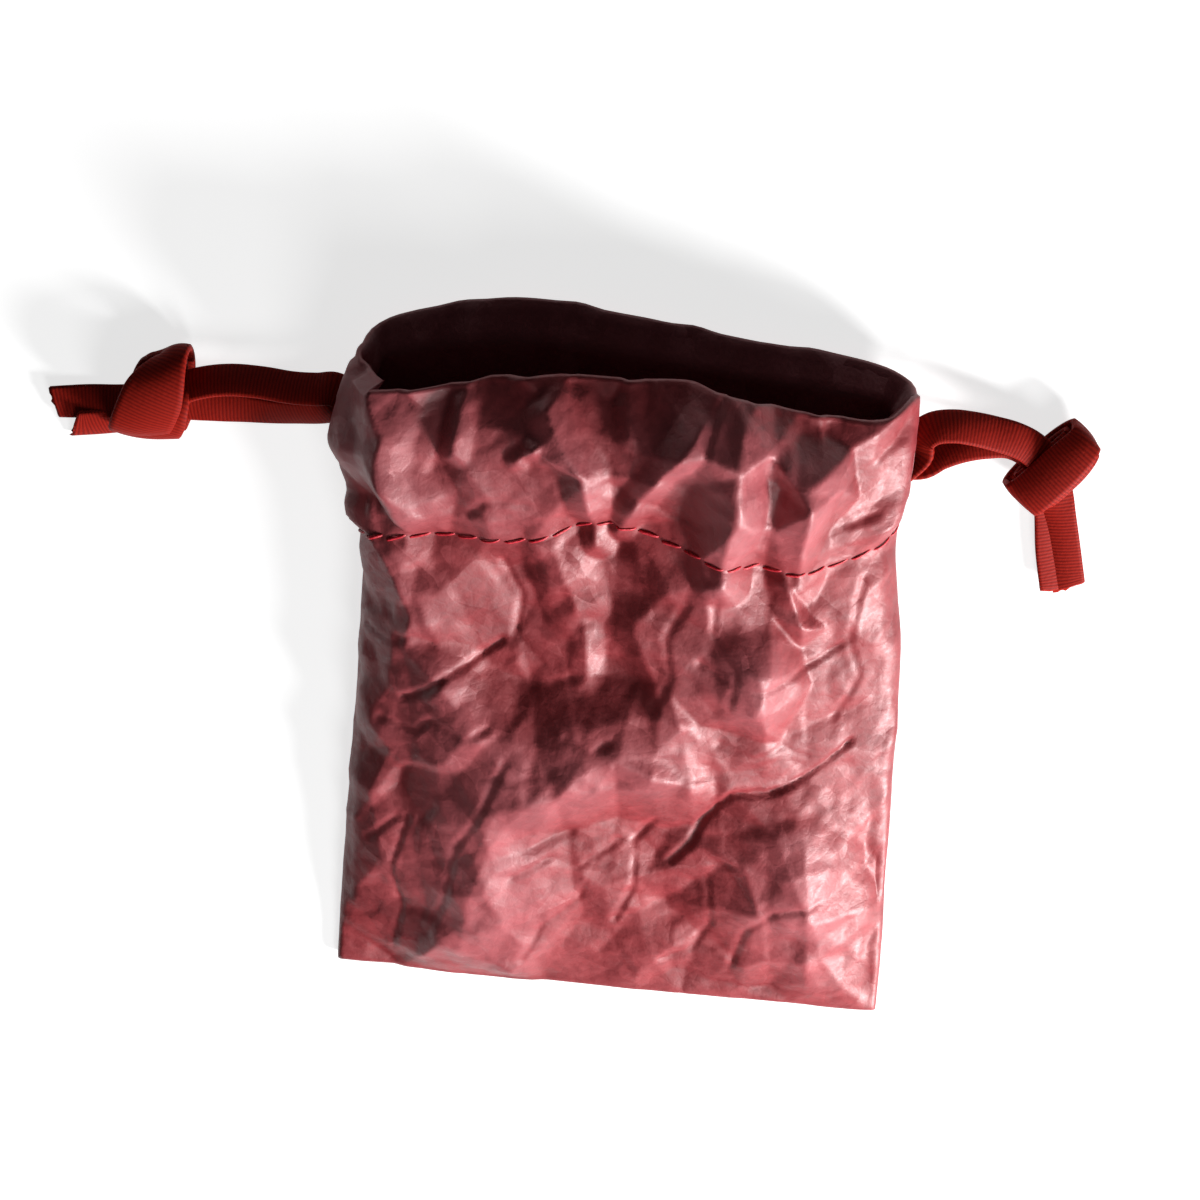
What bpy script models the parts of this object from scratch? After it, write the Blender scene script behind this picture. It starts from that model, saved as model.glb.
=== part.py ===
"""Small drawstring pouch of crumpled washed paper, lying on its back panel with its mouth open.

The pouch is one sheet, folded at the bottom, sewn up its sides and turned in at the mouth to make
a casing. Two flat laces run all round in the casing. One leaves it on the left and one on the
right, and the two strands of each are tied together in an overhand knot with two short tails.
X runs across the pouch, Y from the bottom fold to the mouth, and Z up from the flat back panel.
"""
import math

import bmesh
import bpy
import numpy as np
from mathutils import Vector
from mathutils.geometry import delaunay_2d_cdt

MM = 0.001

# Driving sizes, in millimetres
POUCH_WIDTH = 91.8          # the flat pouch, from side fold to side fold
POUCH_LENGTH = 117.0        # from the bottom fold to the rim
CASING_DEPTH = 26.0         # from the rim down to the hem stitching
SHEET = 0.5                 # one crumpled layer of the sheet
HEM_TAIL = 2.0              # the turned-in hem runs on this far below its stitching
LACE_WIDTH = 5.0
LACE_THICKNESS = 1.0
LACE_CLEARANCE = 0.8        # from a lace to each wall of the casing
LANE_GAP = 1.5              # between the two laces, side by side in the casing
SLIT_LENGTH = 9.0           # opening in each side that a lace leaves through
SLIT_HEIGHT = 5.4
SLIT_STOP = 0.4             # the cut stops this far short of the hem
EXIT_REACH = 1.5            # a strand is clear of the slit this far out
EXIT_SPREAD = 0.8           # and lies this far above or below the slit's middle
SEAM_START = 4.0            # the side seam's thread starts this far above the bottom fold
SEAM_POINTS = 20
SEAM_INSET = 1.2            # from the side fold's tightest place
THREAD_DIAMETER = 0.5
THREAD_CLEARANCE = 0.3      # from a thread to the sheet
KNOT_WIDTH = 14.0           # across the lace
KNOT_LENGTH = 11.0          # along the lace
KNOT_HEIGHT = 6.4

# The grid that the sheet is drawn on
COLUMNS = 32                # across each panel
BODY_ROWS = 18              # from the bottom fold to the stitching
FIRST_ROW = 1.2             # height of the row that rounds the bottom fold

# Cross-sections from the bottom fold up: share of the height (to the stitching up to 1, and on
# through the casing to 2), drawn-in left, drawn-in right, height of the front panel,
# radius of the side folds, lift of the back panel
SECTIONS = (
    (0.00, 0.0, 0.0, 2.2, 1.0, 0.0),
    (0.19, 0.7, 0.9, 5.6, 1.7, 0.0),
    (0.50, 2.2, 3.0, 10.0, 2.6, 0.0),
    (0.76, 3.4, 4.8, 12.6, 3.4, 0.0),
    (1.00, 4.1, 8.2, 15.0, 4.2, 1.6),
    (1.55, 0.9, 7.5, 18.8, 4.8, 1.6),
    (2.00, 3.6, 8.0, 18.4, 4.4, 1.6),
)
ARCH_FULLNESS = 0.72        # below 1 the front panel stands fuller near the sides
LANE_SHARE = 0.58           # the laces' middle, as a share of the casing's depth
CASING_HEIGHTS = (0, 0.08, 0.18, 0.34, 0.5, 0.66, 0.8, 0.92, 1)     # rows, as shares of its depth
CHANNEL_WIDTHS = (None, 0.2, 1, 1, 1, 1, 1, 0.3, None)              # of the channel at each row
HEM_FOLLOWS = (1, 0.7, 0.3, 0.3, 0.3, 0.3, 0.3, 0.7, 1)             # of the outer folds, at each row
CASING_PUFF = 1.8           # the front casing stands out this much more than its crease points say
CASING_DIP = 0.4            # and dips no further than this, so that its channel keeps its width
FOLD_SHARPNESS = 1.4        # above 1 a gather has a sharp crest and hollow flanks
FOLD_FREE_SIDE = 0.08       # creases and gathers die out over this share of the width, beside a side fold

# How far the rim and the stitching stray from straight, in millimetres, across each panel from
# its left fold (-1) to its right fold (1)
RIM_FRONT = ((-1, -3.0), (-0.8, -5.0), (-0.5, -2.7), (-0.25, -0.7), (0, -0.2), (0.2, 0.0),
             (0.55, -4.0), (0.8, -4.8), (0.93, -2.8), (1, -3.3))
RIM_BACK = ((-1, -3.0), (-0.75, 1.2), (-0.4, 4.3), (0, 2.9), (0.35, 1.0), (0.75, -0.6), (1, -3.3))
STITCH_FRONT = ((-1, -5.5), (-0.65, -2.6), (-0.3, -1.0), (-0.08, 2.4), (0.3, -1.6), (0.65, -3.7),
                (0.85, -1.0), (1, 2.0))
STITCH_BACK = ((-1, -5.5), (-0.6, -2.0), (0, 0.0), (0.5, 0.6), (1, 2.0))

# Creases of the front panel: the points where they meet, as shares across from the left fold (-1)
# to the right fold (1) and up from the bottom fold (0) to the stitching (1) and the rim (2), and how
# many millimetres the sheet stands out there. Between them it lies in flat facets
CREASES = (
    (-1, 0.01, 0), (-0.75, 0, 0), (-0.5, 0, 0), (-0.24, 0, 0), (0.01, 0, 0), (0.27, 0, 0),
    (0.52, 0, 0), (0.76, 0, 0), (0.98, 0, 0), (-1, 0.12, 0), (-0.69, 0.05, 2.1), (-0.61, 0.11, 3.4),
    (-0.39, 0.07, 2.9), (-0.18, 0.14, 1.5), (-0.03, 0.1, 0.6), (0.16, 0.11, 1.1), (0.5, 0.12, 0.9),
    (0.85, 0.07, 1.2), (-0.65, 0.19, 2.3), (-0.49, 0.19, 4.2), (-0.46, 0.16, 4.2), (-0.4, 0.24, 4.2),
    (-0.25, 0.24, 3.5), (0.1, 0.2, -0.6), (0.19, 0.23, -1.9), (0.32, 0.17, -0.4), (0.75, 0.16, 2.1),
    (0.93, 0.16, -0.9), (1, 0.25, 0), (-1, 0.3, 0), (-0.81, 0.3, 3), (-0.68, 0.31, 3.2),
    (-0.57, 0.29, 4.2), (-0.47, 0.34, 4.2), (-0.04, 0.26, 1.2), (0.15, 0.34, -1.3), (0.18, 0.31, -0.5),
    (0.39, 0.35, -0.1), (0.52, 0.26, 3.1), (0.68, 0.28, 4.2), (0.71, 0.26, 4.2), (0.9, 0.34, -0.9),
    (-0.74, 0.42, 2.6), (-0.3, 0.36, 2), (0.01, 0.41, -1.9), (0.19, 0.4, -2), (0.27, 0.42, -1.7),
    (0.3, 0.38, -0.3), (0.46, 0.36, 2.2), (0.57, 0.44, 2.1), (0.62, 0.36, 3.5), (0.76, 0.38, 1.6),
    (1, 0.4, 0), (-1, 0.49, 0), (-0.86, 0.45, 2.9), (-0.6, 0.45, 4.2), (-0.51, 0.46, 4.2),
    (-0.41, 0.45, 4.2), (-0.3, 0.49, 4.2), (-0.2, 0.49, 4.2), (-0.14, 0.53, 4), (-0.1, 0.47, 2.3),
    (0.25, 0.53, 2.3), (0.34, 0.54, 0.3), (0.35, 0.46, -2), (0.41, 0.51, -0.4), (0.71, 0.54, -0.9),
    (0.8, 0.5, -0.7), (0.9, 0.46, -0.9), (-1, 0.64, 0), (-0.81, 0.59, 2.8), (-0.78, 0.56, 2.8),
    (-0.62, 0.56, 4.2), (-0.49, 0.61, 4.2), (-0.28, 0.59, 2), (-0.14, 0.57, 3.5), (-0.01, 0.57, 4),
    (0.12, 0.59, 2.4), (0.55, 0.55, -0.9), (0.55, 0.64, -0.9), (0.62, 0.6, -0.9), (0.64, 0.55, -0.9),
    (0.8, 0.62, -0.9), (0.88, 0.57, -0.9), (1, 0.55, 0), (-0.78, 0.65, 2.6), (-0.6, 0.7, 3.6),
    (-0.55, 0.7, 2.5), (-0.45, 0.72, -0.9), (-0.32, 0.69, -2), (-0.21, 0.7, -1.6), (-0.09, 0.7, -2),
    (0.05, 0.7, -1.7), (0.16, 0.71, 1), (0.2, 0.65, 1.5), (0.26, 0.66, 0.4), (0.32, 0.74, 3.2),
    (0.44, 0.72, 4), (0.82, 0.7, -0.9), (1, 0.7, 0), (-1, 0.79, 0), (-0.88, 0.84, 0.5),
    (-0.74, 0.78, 2.8), (-0.72, 0.84, 3.1), (-0.59, 0.78, 0.1), (-0.5, 0.76, -0.9), (-0.36, 0.79, -2),
    (-0.35, 0.85, -1.9), (-0.26, 0.85, -1.8), (-0.16, 0.76, -1.1), (-0.05, 0.78, -2),
    (0.16, 0.79, 1.4), (0.25, 0.81, 2.1), (0.41, 0.81, 4.2), (0.49, 0.81, 4.2), (0.61, 0.84, -0.3),
    (0.65, 0.76, -0.9), (0.76, 0.79, -0.9), (0.85, 0.82, -0.4), (1, 0.84, 0), (-1, 0.93, 0),
    (-0.79, 0.94, 4.2), (-0.65, 0.95, 1.9), (-0.65, 0.88, 2.2), (-0.41, 0.89, -1), (-0.26, 0.94, 0.1),
    (-0.22, 0.86, -2), (-0.19, 0.94, -1), (-0.03, 0.94, -2), (0.05, 0.93, -0.4), (0.11, 0.86, -0.4),
    (0.29, 0.86, 2.5), (0.38, 0.9, 1.3), (0.51, 0.91, 0.9), (0.61, 0.9, 2.2), (0.65, 0.91, -0.9),
    (0.71, 0.88, -0.7), (0.79, 0.93, -0.3), (1, 0.95, 0), (-1, 0.99, 0), (-0.85, 1, 4.2),
    (-0.72, 1, 1.2), (-0.6, 1, 0.9), (-0.5, 0.97, 0.8), (-0.46, 1, 2), (-0.32, 1, 1.2),
    (-0.22, 1, -0.8), (-0.12, 1, -1), (-0.05, 1, -0.9), (0.02, 1, -0.5), (0.11, 1, 0.2),
    (0.26, 1, 1.1), (0.38, 1, -0.4), (0.48, 0.99, -0.9), (0.55, 1, 0.2), (0.64, 1, -1), (0.75, 1, -1),
    (0.85, 1, -0.7), (-0.11, 1.09, 0), (-1, 1.21, 0), (-0.4, 1.25, 1.2), (0.19, 1.18, -1.5),
    (0.59, 1.23, 0.5), (1, 1.16, 0), (-0.82, 1.26, 0.3), (-0.51, 1.34, 0.4), (-0.18, 1.26, 0.9),
    (0.48, 1.34, 1.2), (0.69, 1.3, -1.9), (-0.7, 1.35, 4.2), (-0.07, 1.4, 0.4), (0.36, 1.41, 4.2),
    (-1, 1.51, 0), (-0.26, 1.5, 0.3), (0.14, 1.48, 1.5), (0.21, 1.46, 1.2), (0.77, 1.48, -1.9),
    (1, 1.52, 0), (-0.76, 1.6, 4.2), (-0.56, 1.6, 1.7), (-0.47, 1.57, 1.8), (-0.25, 1.62, 1.9),
    (-0.01, 1.64, -0.2), (0.05, 1.59, 0.5), (0.49, 1.6, 0.4), (0.56, 1.57, 4.2), (0.68, 1.64, 1.3),
    (-1, 1.69, 0), (-0.71, 1.68, 4.2), (-0.34, 1.73, 0.7), (0.24, 1.73, 4.2), (0.35, 1.71, 3.8),
    (0.52, 1.68, 3.8), (1, 1.71, 0), (-0.46, 1.76, 1.5), (-0.2, 1.76, -0.7), (0.43, 1.82, 3.1),
    (0.71, 1.84, -2.3), (-1, 1.95, 0), (-0.65, 1.88, 2.3), (-0.57, 1.95, 0.4), (-0.28, 1.9, -2.1),
    (-0.06, 1.88, -2.2), (-0.79, 2, 4.2), (-0.72, 2, 2.9), (-0.68, 2, 3.4), (-0.46, 2, -2.5),
    (-0.3, 2, -2.5), (-0.11, 2, -2.5), (0.05, 2, -2.3), (0.2, 2, -2.5), (0.3, 2, -1.4),
    (0.44, 2, -2.5), (0.54, 2, -2.5), (0.7, 2, -2.5), (0.82, 2, -2.5), (1, 2, 0),
)
# Gathers of the back panel's casing: height in millimetres, half-width in millimetres, and points
# in the same shares
BACK_FOLDS = (
    (1.3, 4.5, ((-0.62, 1.98), (-0.58, 1.10))),
    (1.1, 4.0, ((-0.22, 1.98), (-0.26, 1.10))),
    (1.3, 4.5, ((0.18, 1.98), (0.22, 1.10))),
    (1.1, 4.5, ((0.58, 1.98), (0.56, 1.10))),
)

# Routes of the four free strands and the tails, chosen by hand. Each point is millimetres out
# from the side fold, up the pouch from the slit's middle, and above what the pouch lies on. Each
# strand runs from its slit to its knot, upper and lower, and each tail from its knot to its end
LEFT_STRANDS = (
    ((3.5, 0.0, 7.1), (8.0, 0.6, 5.7), (13.0, 0.4, 4.4), (18.0, -0.2, 4.2), (23.0, -0.8, 4.4)),
    ((3.5, -0.6, 5.3), (8.0, -3.0, 3.1), (13.0, -4.6, 1.7), (18.0, -5.0, 2.0), (23.0, -4.2, 2.6)),
)
LEFT_TAILS = (
    ((26.0, -1.7, 3.4), (33.0, -1.7, 2.2), (39.0, -2.5, 1.6), (44.6, -3.4, 1.1)),
    ((26.0, -3.9, 2.2), (33.0, -5.5, 1.0), (37.5, -7.1, 0.8), (41.0, -7.9, 0.8)),
)
LEFT_KNOT = (26.7, -2.7, 3.6)
LEFT_KNOT_TURN = 8.0        # degrees, from straight across the strands
RIGHT_STRANDS = (
    ((3.5, 0.8, 7.1), (7.2, 2.8, 5.7), (11.7, 4.6, 4.6), (15.7, 4.0, 4.4), (19.7, 2.6, 4.4)),
    ((3.5, 0.0, 5.3), (7.2, 0.0, 3.3), (11.7, 1.0, 1.8), (15.7, 1.6, 2.0), (19.7, 1.6, 2.6)),
)
RIGHT_TAILS = (
    ((22.1, 1.2, 3.2), (23.7, -6.8, 2.2), (24.9, -12.8, 1.8), (25.7, -18.8, 1.6)),
    ((23.1, 1.2, 2.0), (25.9, -6.8, 1.0), (27.5, -12.3, 0.8), (28.1, -17.3, 0.8)),
)
RIGHT_KNOT = (21.1, 2.0, 3.6)
RIGHT_KNOT_TURN = -30.0


def curve_through(points, place):
    """Value at a place on a smooth curve through (place, value) points."""
    places = [point[0] for point in points]
    values = [point[1] for point in points]
    last = len(points) - 1

    def slope(i):
        low, high = max(i - 1, 0), min(i + 1, last)
        return (values[high] - values[low]) / (places[high] - places[low])

    place = min(max(place, places[0]), places[-1])
    i = min(max(j for j in range(len(places)) if places[j] <= place), last - 1)
    span = places[i + 1] - places[i]
    t = (place - places[i]) / span
    return ((2 * t**3 - 3 * t**2 + 1) * values[i] + (t**3 - 2 * t**2 + t) * span * slope(i)
            + (3 * t**2 - 2 * t**3) * values[i + 1] + (t**3 - t**2) * span * slope(i + 1))


def section_at(height):
    """Left edge, right edge, front height, side radius and back lift at a share of the height."""
    drawn_left, drawn_right, front, radius, lift = (
        curve_through([(row[0], row[k]) for row in SECTIONS], height) for k in range(1, 6))
    return -POUCH_WIDTH / 2 + drawn_left, POUCH_WIDTH / 2 - drawn_right, front, radius, max(lift, 0.0)


def panel_outline(height, front):
    """One panel's cross-section from the left fold to the right, evenly spaced along the sheet.

    Each row is core x, core z, outward normal x, outward normal z: the outer face lies one side
    radius out from the core along the normal, and every inner face that much less its depth.
    """
    left, right, top, radius, lift = section_at(height)
    tip_left, tip_right, base = left + radius, right - radius, lift + radius
    middle, half = (tip_left + tip_right) / 2, (tip_right - tip_left) / 2
    rise = max(top - radius - base, 0.01)
    rows = []
    if front:
        spread = [-math.cos(math.pi * k / 160) for k in range(1, 160)]
        arch = [(middle + half * s, base + rise * (1 - s * s) ** ARCH_FULLNESS) for s in spread]
        rows.append((tip_left, base, -1.0, 0.0))
        for k, (x, z) in enumerate(arch):
            before = arch[k - 1] if k else (tip_left, base)
            after = arch[k + 1] if k + 1 < len(arch) else (tip_right, base)
            run, climb = after[0] - before[0], after[1] - before[1]
            size = math.hypot(run, climb)
            rows.append((x, z, -climb / size, run / size))
        rows.append((tip_right, base, 1.0, 0.0))
    else:
        for k in range(13):
            turn = math.pi / 2 * k / 12
            rows.append((tip_left, base, -math.cos(turn), -math.sin(turn)))
        for k in range(1, 40):
            rows.append((tip_left + (tip_right - tip_left) * k / 40, base, 0.0, -1.0))
        for k in range(13):
            turn = math.pi / 2 * k / 12
            rows.append((tip_right, base, math.sin(turn), -math.cos(turn)))
    rows = np.array(rows)
    outer = rows[:, :2] + radius * rows[:, 2:]
    length = np.concatenate(([0.0], np.cumsum(np.linalg.norm(np.diff(outer, axis=0), axis=1))))
    even = np.linspace(0.0, length[-1], COLUMNS + 1)
    rows = np.stack([np.interp(even, length, rows[:, k]) for k in range(4)], axis=1)
    rows[:, 2:] /= np.linalg.norm(rows[:, 2:], axis=1)[:, None]
    return rows, radius


def up_the_pouch(height, across, front):
    """Distance from the bottom fold at a share of the height and of the width."""
    stitch = POUCH_LENGTH - CASING_DEPTH + curve_through(STITCH_FRONT if front else STITCH_BACK, across)
    rim = POUCH_LENGTH + curve_through(RIM_FRONT if front else RIM_BACK, across)
    return stitch * height if height <= 1 else stitch + (rim - stitch) * (height - 1)


def flat_place(height, across):
    """Where a point lies on the flat panel, in millimetres."""
    body = POUCH_LENGTH - CASING_DEPTH
    up = body * height if height <= 1 else body + CASING_DEPTH * (height - 1)
    return across * POUCH_WIDTH / 2, up


def crease_facets():
    """The facets between the crease points: three corners on the flat panel and their heights."""
    corners = [Vector(flat_place(up, side)) for side, up, stands in CREASES]
    result = delaunay_2d_cdt(corners, [], [], 0, 1e-6)
    heights = [CREASES[origins[0]][2] for origins in result[3]]
    return [[(*result[0][k], heights[k]) for k in facet] for facet in result[2]]


def crease_height(height, across):
    """How far the front panel stands out at a point."""
    x, y = flat_place(height, across)
    stands = 0.0
    for (ax, ay, ha), (bx, by, hb), (cx, cy, hc) in FACETS:
        area = (bx - ax) * (cy - ay) - (by - ay) * (cx - ax)
        if abs(area) < 1e-6:
            continue
        share_b = ((x - ax) * (cy - ay) - (y - ay) * (cx - ax)) / area
        share_c = ((bx - ax) * (y - ay) - (by - ay) * (x - ax)) / area
        if share_b >= -1e-6 and share_c >= -1e-6 and share_b + share_c <= 1 + 1e-6:
            stands = ha + share_b * (hb - ha) + share_c * (hc - ha)
            break
    if height > 1:
        stands = max(stands + CASING_PUFF * min(1.0, 6 * (height - 1)), -CASING_DIP)
    return stands


def gather_height(height, across):
    """How far the back panel stands out at a point."""
    x, y = flat_place(height, across)
    highest = 0.0
    for rise, width, points in BACK_FOLDS:
        nearest = 1e9
        flat = [flat_place(up, side) for side, up in points]
        for (ax, ay), (bx, by) in zip(flat, flat[1:]):
            dx, dy = bx - ax, by - ay
            t = min(max(((x - ax) * dx + (y - ay) * dy) / (dx * dx + dy * dy), 0.0), 1.0)
            nearest = min(nearest, math.hypot(x - ax - t * dx, y - ay - t * dy))
        highest = max(highest, rise * max(0.0, 1 - nearest / width) ** FOLD_SHARPNESS)
    return highest


stand_cache = {}


def fold_height(height, column, front):
    """How far the sheet stands out at a point of one panel's grid."""
    key = (height, column, front)
    if key not in stand_cache:
        across = -1 + 2 * column / COLUMNS
        stands = crease_height(height, across) if front else gather_height(height, across)
        stand_cache[key] = stands * min(1.0, (1 - abs(across)) / FOLD_FREE_SIDE)
    return stand_cache[key]


def sheet_point(height, column, front, depth, fold_share=1.0):
    """A point of the sheet at a depth below its outer face, in millimetres."""
    across = -1 + 2 * column / COLUMNS
    rows, radius = outline(height, front)
    x, z, nx, nz = rows[column]
    out = radius - depth + fold_share * fold_height(height, column, front)
    return x + out * nx, up_the_pouch(height, across, front), z + out * nz


FACETS = crease_facets()
outlines = {}


def outline(height, front):
    key = (height, front)
    if key not in outlines:
        outlines[key] = panel_outline(height, front)
    return outlines[key]


CHANNEL = LACE_THICKNESS + 2 * LACE_CLEARANCE
# The part's own origin is on the flat underside, halfway up the pouch
ORIGIN = Vector((0, -POUCH_LENGTH / 2, 0)) * MM


def rows_of_the_sheet():
    """Rows from the bottom fold to the rim: height, inner depth, channel width and hem share."""
    body = POUCH_LENGTH - CASING_DEPTH
    tail = 1 - HEM_TAIL / body
    rows = [(FIRST_ROW / body, SHEET, None, 1)]
    rows += [(k / BODY_ROWS, SHEET, None, 1) for k in range(1, BODY_ROWS)]
    rows += [(tail - SHEET / 2 / body, SHEET, None, 1), (tail, 2 * SHEET, None, 1)]
    for share, width, follows in zip(CASING_HEIGHTS, CHANNEL_WIDTHS, HEM_FOLLOWS):
        gap = CHANNEL * width if width else 0.0
        rows.append((1 + share, 2 * SHEET + gap, gap if width else None, follows))
    return rows


def ring_point(height, place, depth, fold_share=1.0):
    """A point round the pouch: place 0 is the left fold, COLUMNS the right fold, and on along the back."""
    place %= 2 * COLUMNS
    if place <= COLUMNS:
        return sheet_point(height, place, True, depth, fold_share)
    return sheet_point(height, 2 * COLUMNS - place, False, depth, fold_share)


def new_object(name, mesh_or_curve, material=None, collection=None):
    thing = bpy.data.objects.new(name, mesh_or_curve)
    thing.location = ORIGIN
    (collection or POUCH).objects.link(thing)
    if material:
        mesh_or_curve.materials.append(material)
    return thing


def pouch_mesh():
    """The one sheet as a closed body: outer face, rim, inner face, and the casing's channel."""
    shell = bmesh.new()
    around = 2 * COLUMNS
    rows = rows_of_the_sheet()

    def ring(height, depth, share=1.0, beyond=0.0):
        points = [Vector(ring_point(height, k, depth, share)) for k in range(around)]
        return [shell.verts.new((point + Vector((0, beyond, 0))) * MM) for point in points]

    def fold_line(depth):
        line = []
        for k in range(COLUMNS + 1):
            low = Vector(sheet_point(rows[0][0], k, False, depth))
            high = Vector(sheet_point(rows[0][0], k, True, depth))
            line.append(shell.verts.new(Vector((low.x, depth, (low.z + high.z) / 2)) * MM))
        return [line[k if k <= COLUMNS else around - k] for k in range(around)]

    def strip(low, high, outward):
        for k in range(around):
            after = (k + 1) % around
            corners = [low[after], low[k], high[k], high[after]]
            corners = [corner for i, corner in enumerate(corners) if corner not in corners[:i]]
            shell.faces.new(corners[::-1] if outward else corners)

    outer = [ring(height, 0.0) for height, depth, gap, share in rows]
    inner = [ring(height, depth, share) for height, depth, gap, share in rows]
    crest = ring(2, rows[-1][1] / 2, 1.0, SHEET / 2)
    skin = [fold_line(0.0)] + outer + [crest]
    lining = [fold_line(SHEET)] + inner + [crest]
    for low, high in zip(skin, skin[1:]):
        strip(low, high, True)
    for low, high in zip(lining, lining[1:]):
        strip(low, high, False)
    wall_side = [ring(height, SHEET) for height, depth, gap, share in rows if gap]
    hem_side = [ring(height, SHEET + gap, share) for height, depth, gap, share in rows if gap]
    for low, high in zip(wall_side, wall_side[1:]):
        strip(low, high, False)
    for low, high in zip(hem_side, hem_side[1:]):
        strip(low, high, True)
    strip(wall_side[0], hem_side[0], True)
    strip(wall_side[-1], hem_side[-1], False)
    mesh = bpy.data.meshes.new("pouch_body")
    shell.to_mesh(mesh)
    shell.free()
    return mesh


def side_tip(height, left):
    """Centre of a side fold's round at a height share, as x and z, and its radius."""
    edge_left, edge_right, front, radius, lift = section_at(height)
    return (edge_left + radius if left else edge_right - radius), lift + radius, radius


def lane_height(across, front, upper):
    """Height share of a lace's middle in the casing: the left lace runs in the upper lane."""
    stitch, rim = up_the_pouch(1, across, front), up_the_pouch(2, across, front)
    step = (LACE_WIDTH + LANE_GAP) / 2 * (1 if upper else -1)
    return 1 + LANE_SHARE + step / (rim - stitch)


def lane_point(place, upper):
    """Middle of a lace in the casing, one clearance outside the hem."""
    place %= 2 * COLUMNS
    front = place <= COLUMNS
    column = place if front else 2 * COLUMNS - place
    height = lane_height(-1 + 2 * column / COLUMNS, front, upper)
    depth = SHEET + CHANNEL - LACE_CLEARANCE - LACE_THICKNESS / 2
    return ring_point(height, place, depth, HEM_FOLLOWS[4])


def cut_slit(body, left):
    """Opens the side seam over a lace's lane, from outside into the middle of the channel."""
    height = lane_height(-1 if left else 1, True, left)
    x, z, radius = side_tip(height, left)
    side = -1 if left else 1
    inside = radius - SHEET - CHANNEL + SLIT_STOP
    outside = radius + 4 * SHEET
    middle = Vector((x + side * (inside + outside) / 2, up_the_pouch(height, side, True), z))
    bpy.ops.mesh.primitive_cube_add(size=1, location=ORIGIN + middle * MM)
    cutter = bpy.context.object
    cutter.name = "slit_cutter_left" if left else "slit_cutter_right"
    cutter.scale = ((outside - inside) * MM, SLIT_LENGTH * MM, SLIT_HEIGHT * MM)
    bpy.ops.object.transform_apply(location=False, rotation=False, scale=True)
    for collection in list(cutter.users_collection):
        collection.objects.unlink(cutter)
    CUTTERS.objects.link(cutter)
    cutter.display_type = 'WIRE'
    cutter.hide_render = True
    cut = body.modifiers.new("slit", 'BOOLEAN')
    cut.operation, cut.solver, cut.object = 'DIFFERENCE', 'EXACT', cutter


def thread(name, points, cyclic, material):
    """A round thread through points in millimetres."""
    curve = bpy.data.curves.new(name, 'CURVE')
    curve.dimensions = '3D'
    curve.bevel_depth = THREAD_DIAMETER / 2 * MM
    curve.bevel_resolution = 1
    curve.use_fill_caps = not cyclic
    spline = curve.splines.new('POLY')
    spline.points.add(len(points) - 1)
    for spot, point in zip(spline.points, points):
        spot.co = (*(Vector(point) * MM), 1)
    spline.use_cyclic_u = cyclic
    return new_object(name, curve, material)


def stitch_points():
    """The hem's thread, just outside the sheet all round the pouch."""
    off = -(THREAD_CLEARANCE + THREAD_DIAMETER / 2)
    return [ring_point(1, place, off) for place in range(2 * COLUMNS)]


def seam_points(left):
    """A side seam's thread, just inside the side fold, from the bottom fold to the hem."""
    body = POUCH_LENGTH - CASING_DEPTH
    points = []
    for k in range(SEAM_POINTS):
        height = (SEAM_START + (body - HEM_TAIL - SEAM_START - 1) * k / (SEAM_POINTS - 1)) / body
        x, z, radius = side_tip(height, left)
        reach = radius - SHEET - THREAD_CLEARANCE - THREAD_DIAMETER / 2 - SEAM_INSET
        side = -1 if left else 1
        points.append((x + side * reach, up_the_pouch(height, side, True), z))
    return points


def smooth_route(points, per_span):
    """Points on a smooth curve through a route's own points."""
    places = list(range(len(points)))
    count = (len(points) - 1) * per_span
    return [tuple(curve_through(list(zip(places, [p[axis] for p in points])), k / per_span)
                  for axis in range(3)) for k in range(count + 1)]


def ribbon(name, points, across):
    """A flat lace through points in millimetres, as a closed mesh; across gives its width's line."""
    half_width, half_thick = LACE_WIDTH / 2, LACE_THICKNESS / 2
    edge = LACE_THICKNESS * 0.3
    profile = ((-half_width, -half_thick + edge), (-half_width + edge, -half_thick),
               (half_width - edge, -half_thick), (half_width, -half_thick + edge),
               (half_width, half_thick - edge), (half_width - edge, half_thick),
               (-half_width + edge, half_thick), (-half_width, half_thick - edge))
    shell = bmesh.new()
    rings = []
    points = [Vector(point) for point in points]
    for k, point in enumerate(points):
        heading = (points[min(k + 1, len(points) - 1)] - points[max(k - 1, 0)]).normalized()
        wide = (across - heading * across.dot(heading)).normalized() if isinstance(across, Vector) \
            else heading.cross(Vector((0, 0, 1))).normalized()
        thick = wide.cross(heading)
        rings.append([shell.verts.new((point + wide * a + thick * b) * MM) for a, b in profile])
    for low, high in zip(rings, rings[1:]):
        for k in range(8):
            shell.faces.new((low[k], low[(k + 1) % 8], high[(k + 1) % 8], high[k]))
    shell.faces.new(rings[0][::-1])
    shell.faces.new(rings[-1])
    bmesh.ops.recalc_face_normals(shell, faces=shell.faces)
    mesh = bpy.data.meshes.new(name)
    shell.to_mesh(mesh)
    shell.free()
    return mesh


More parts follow.
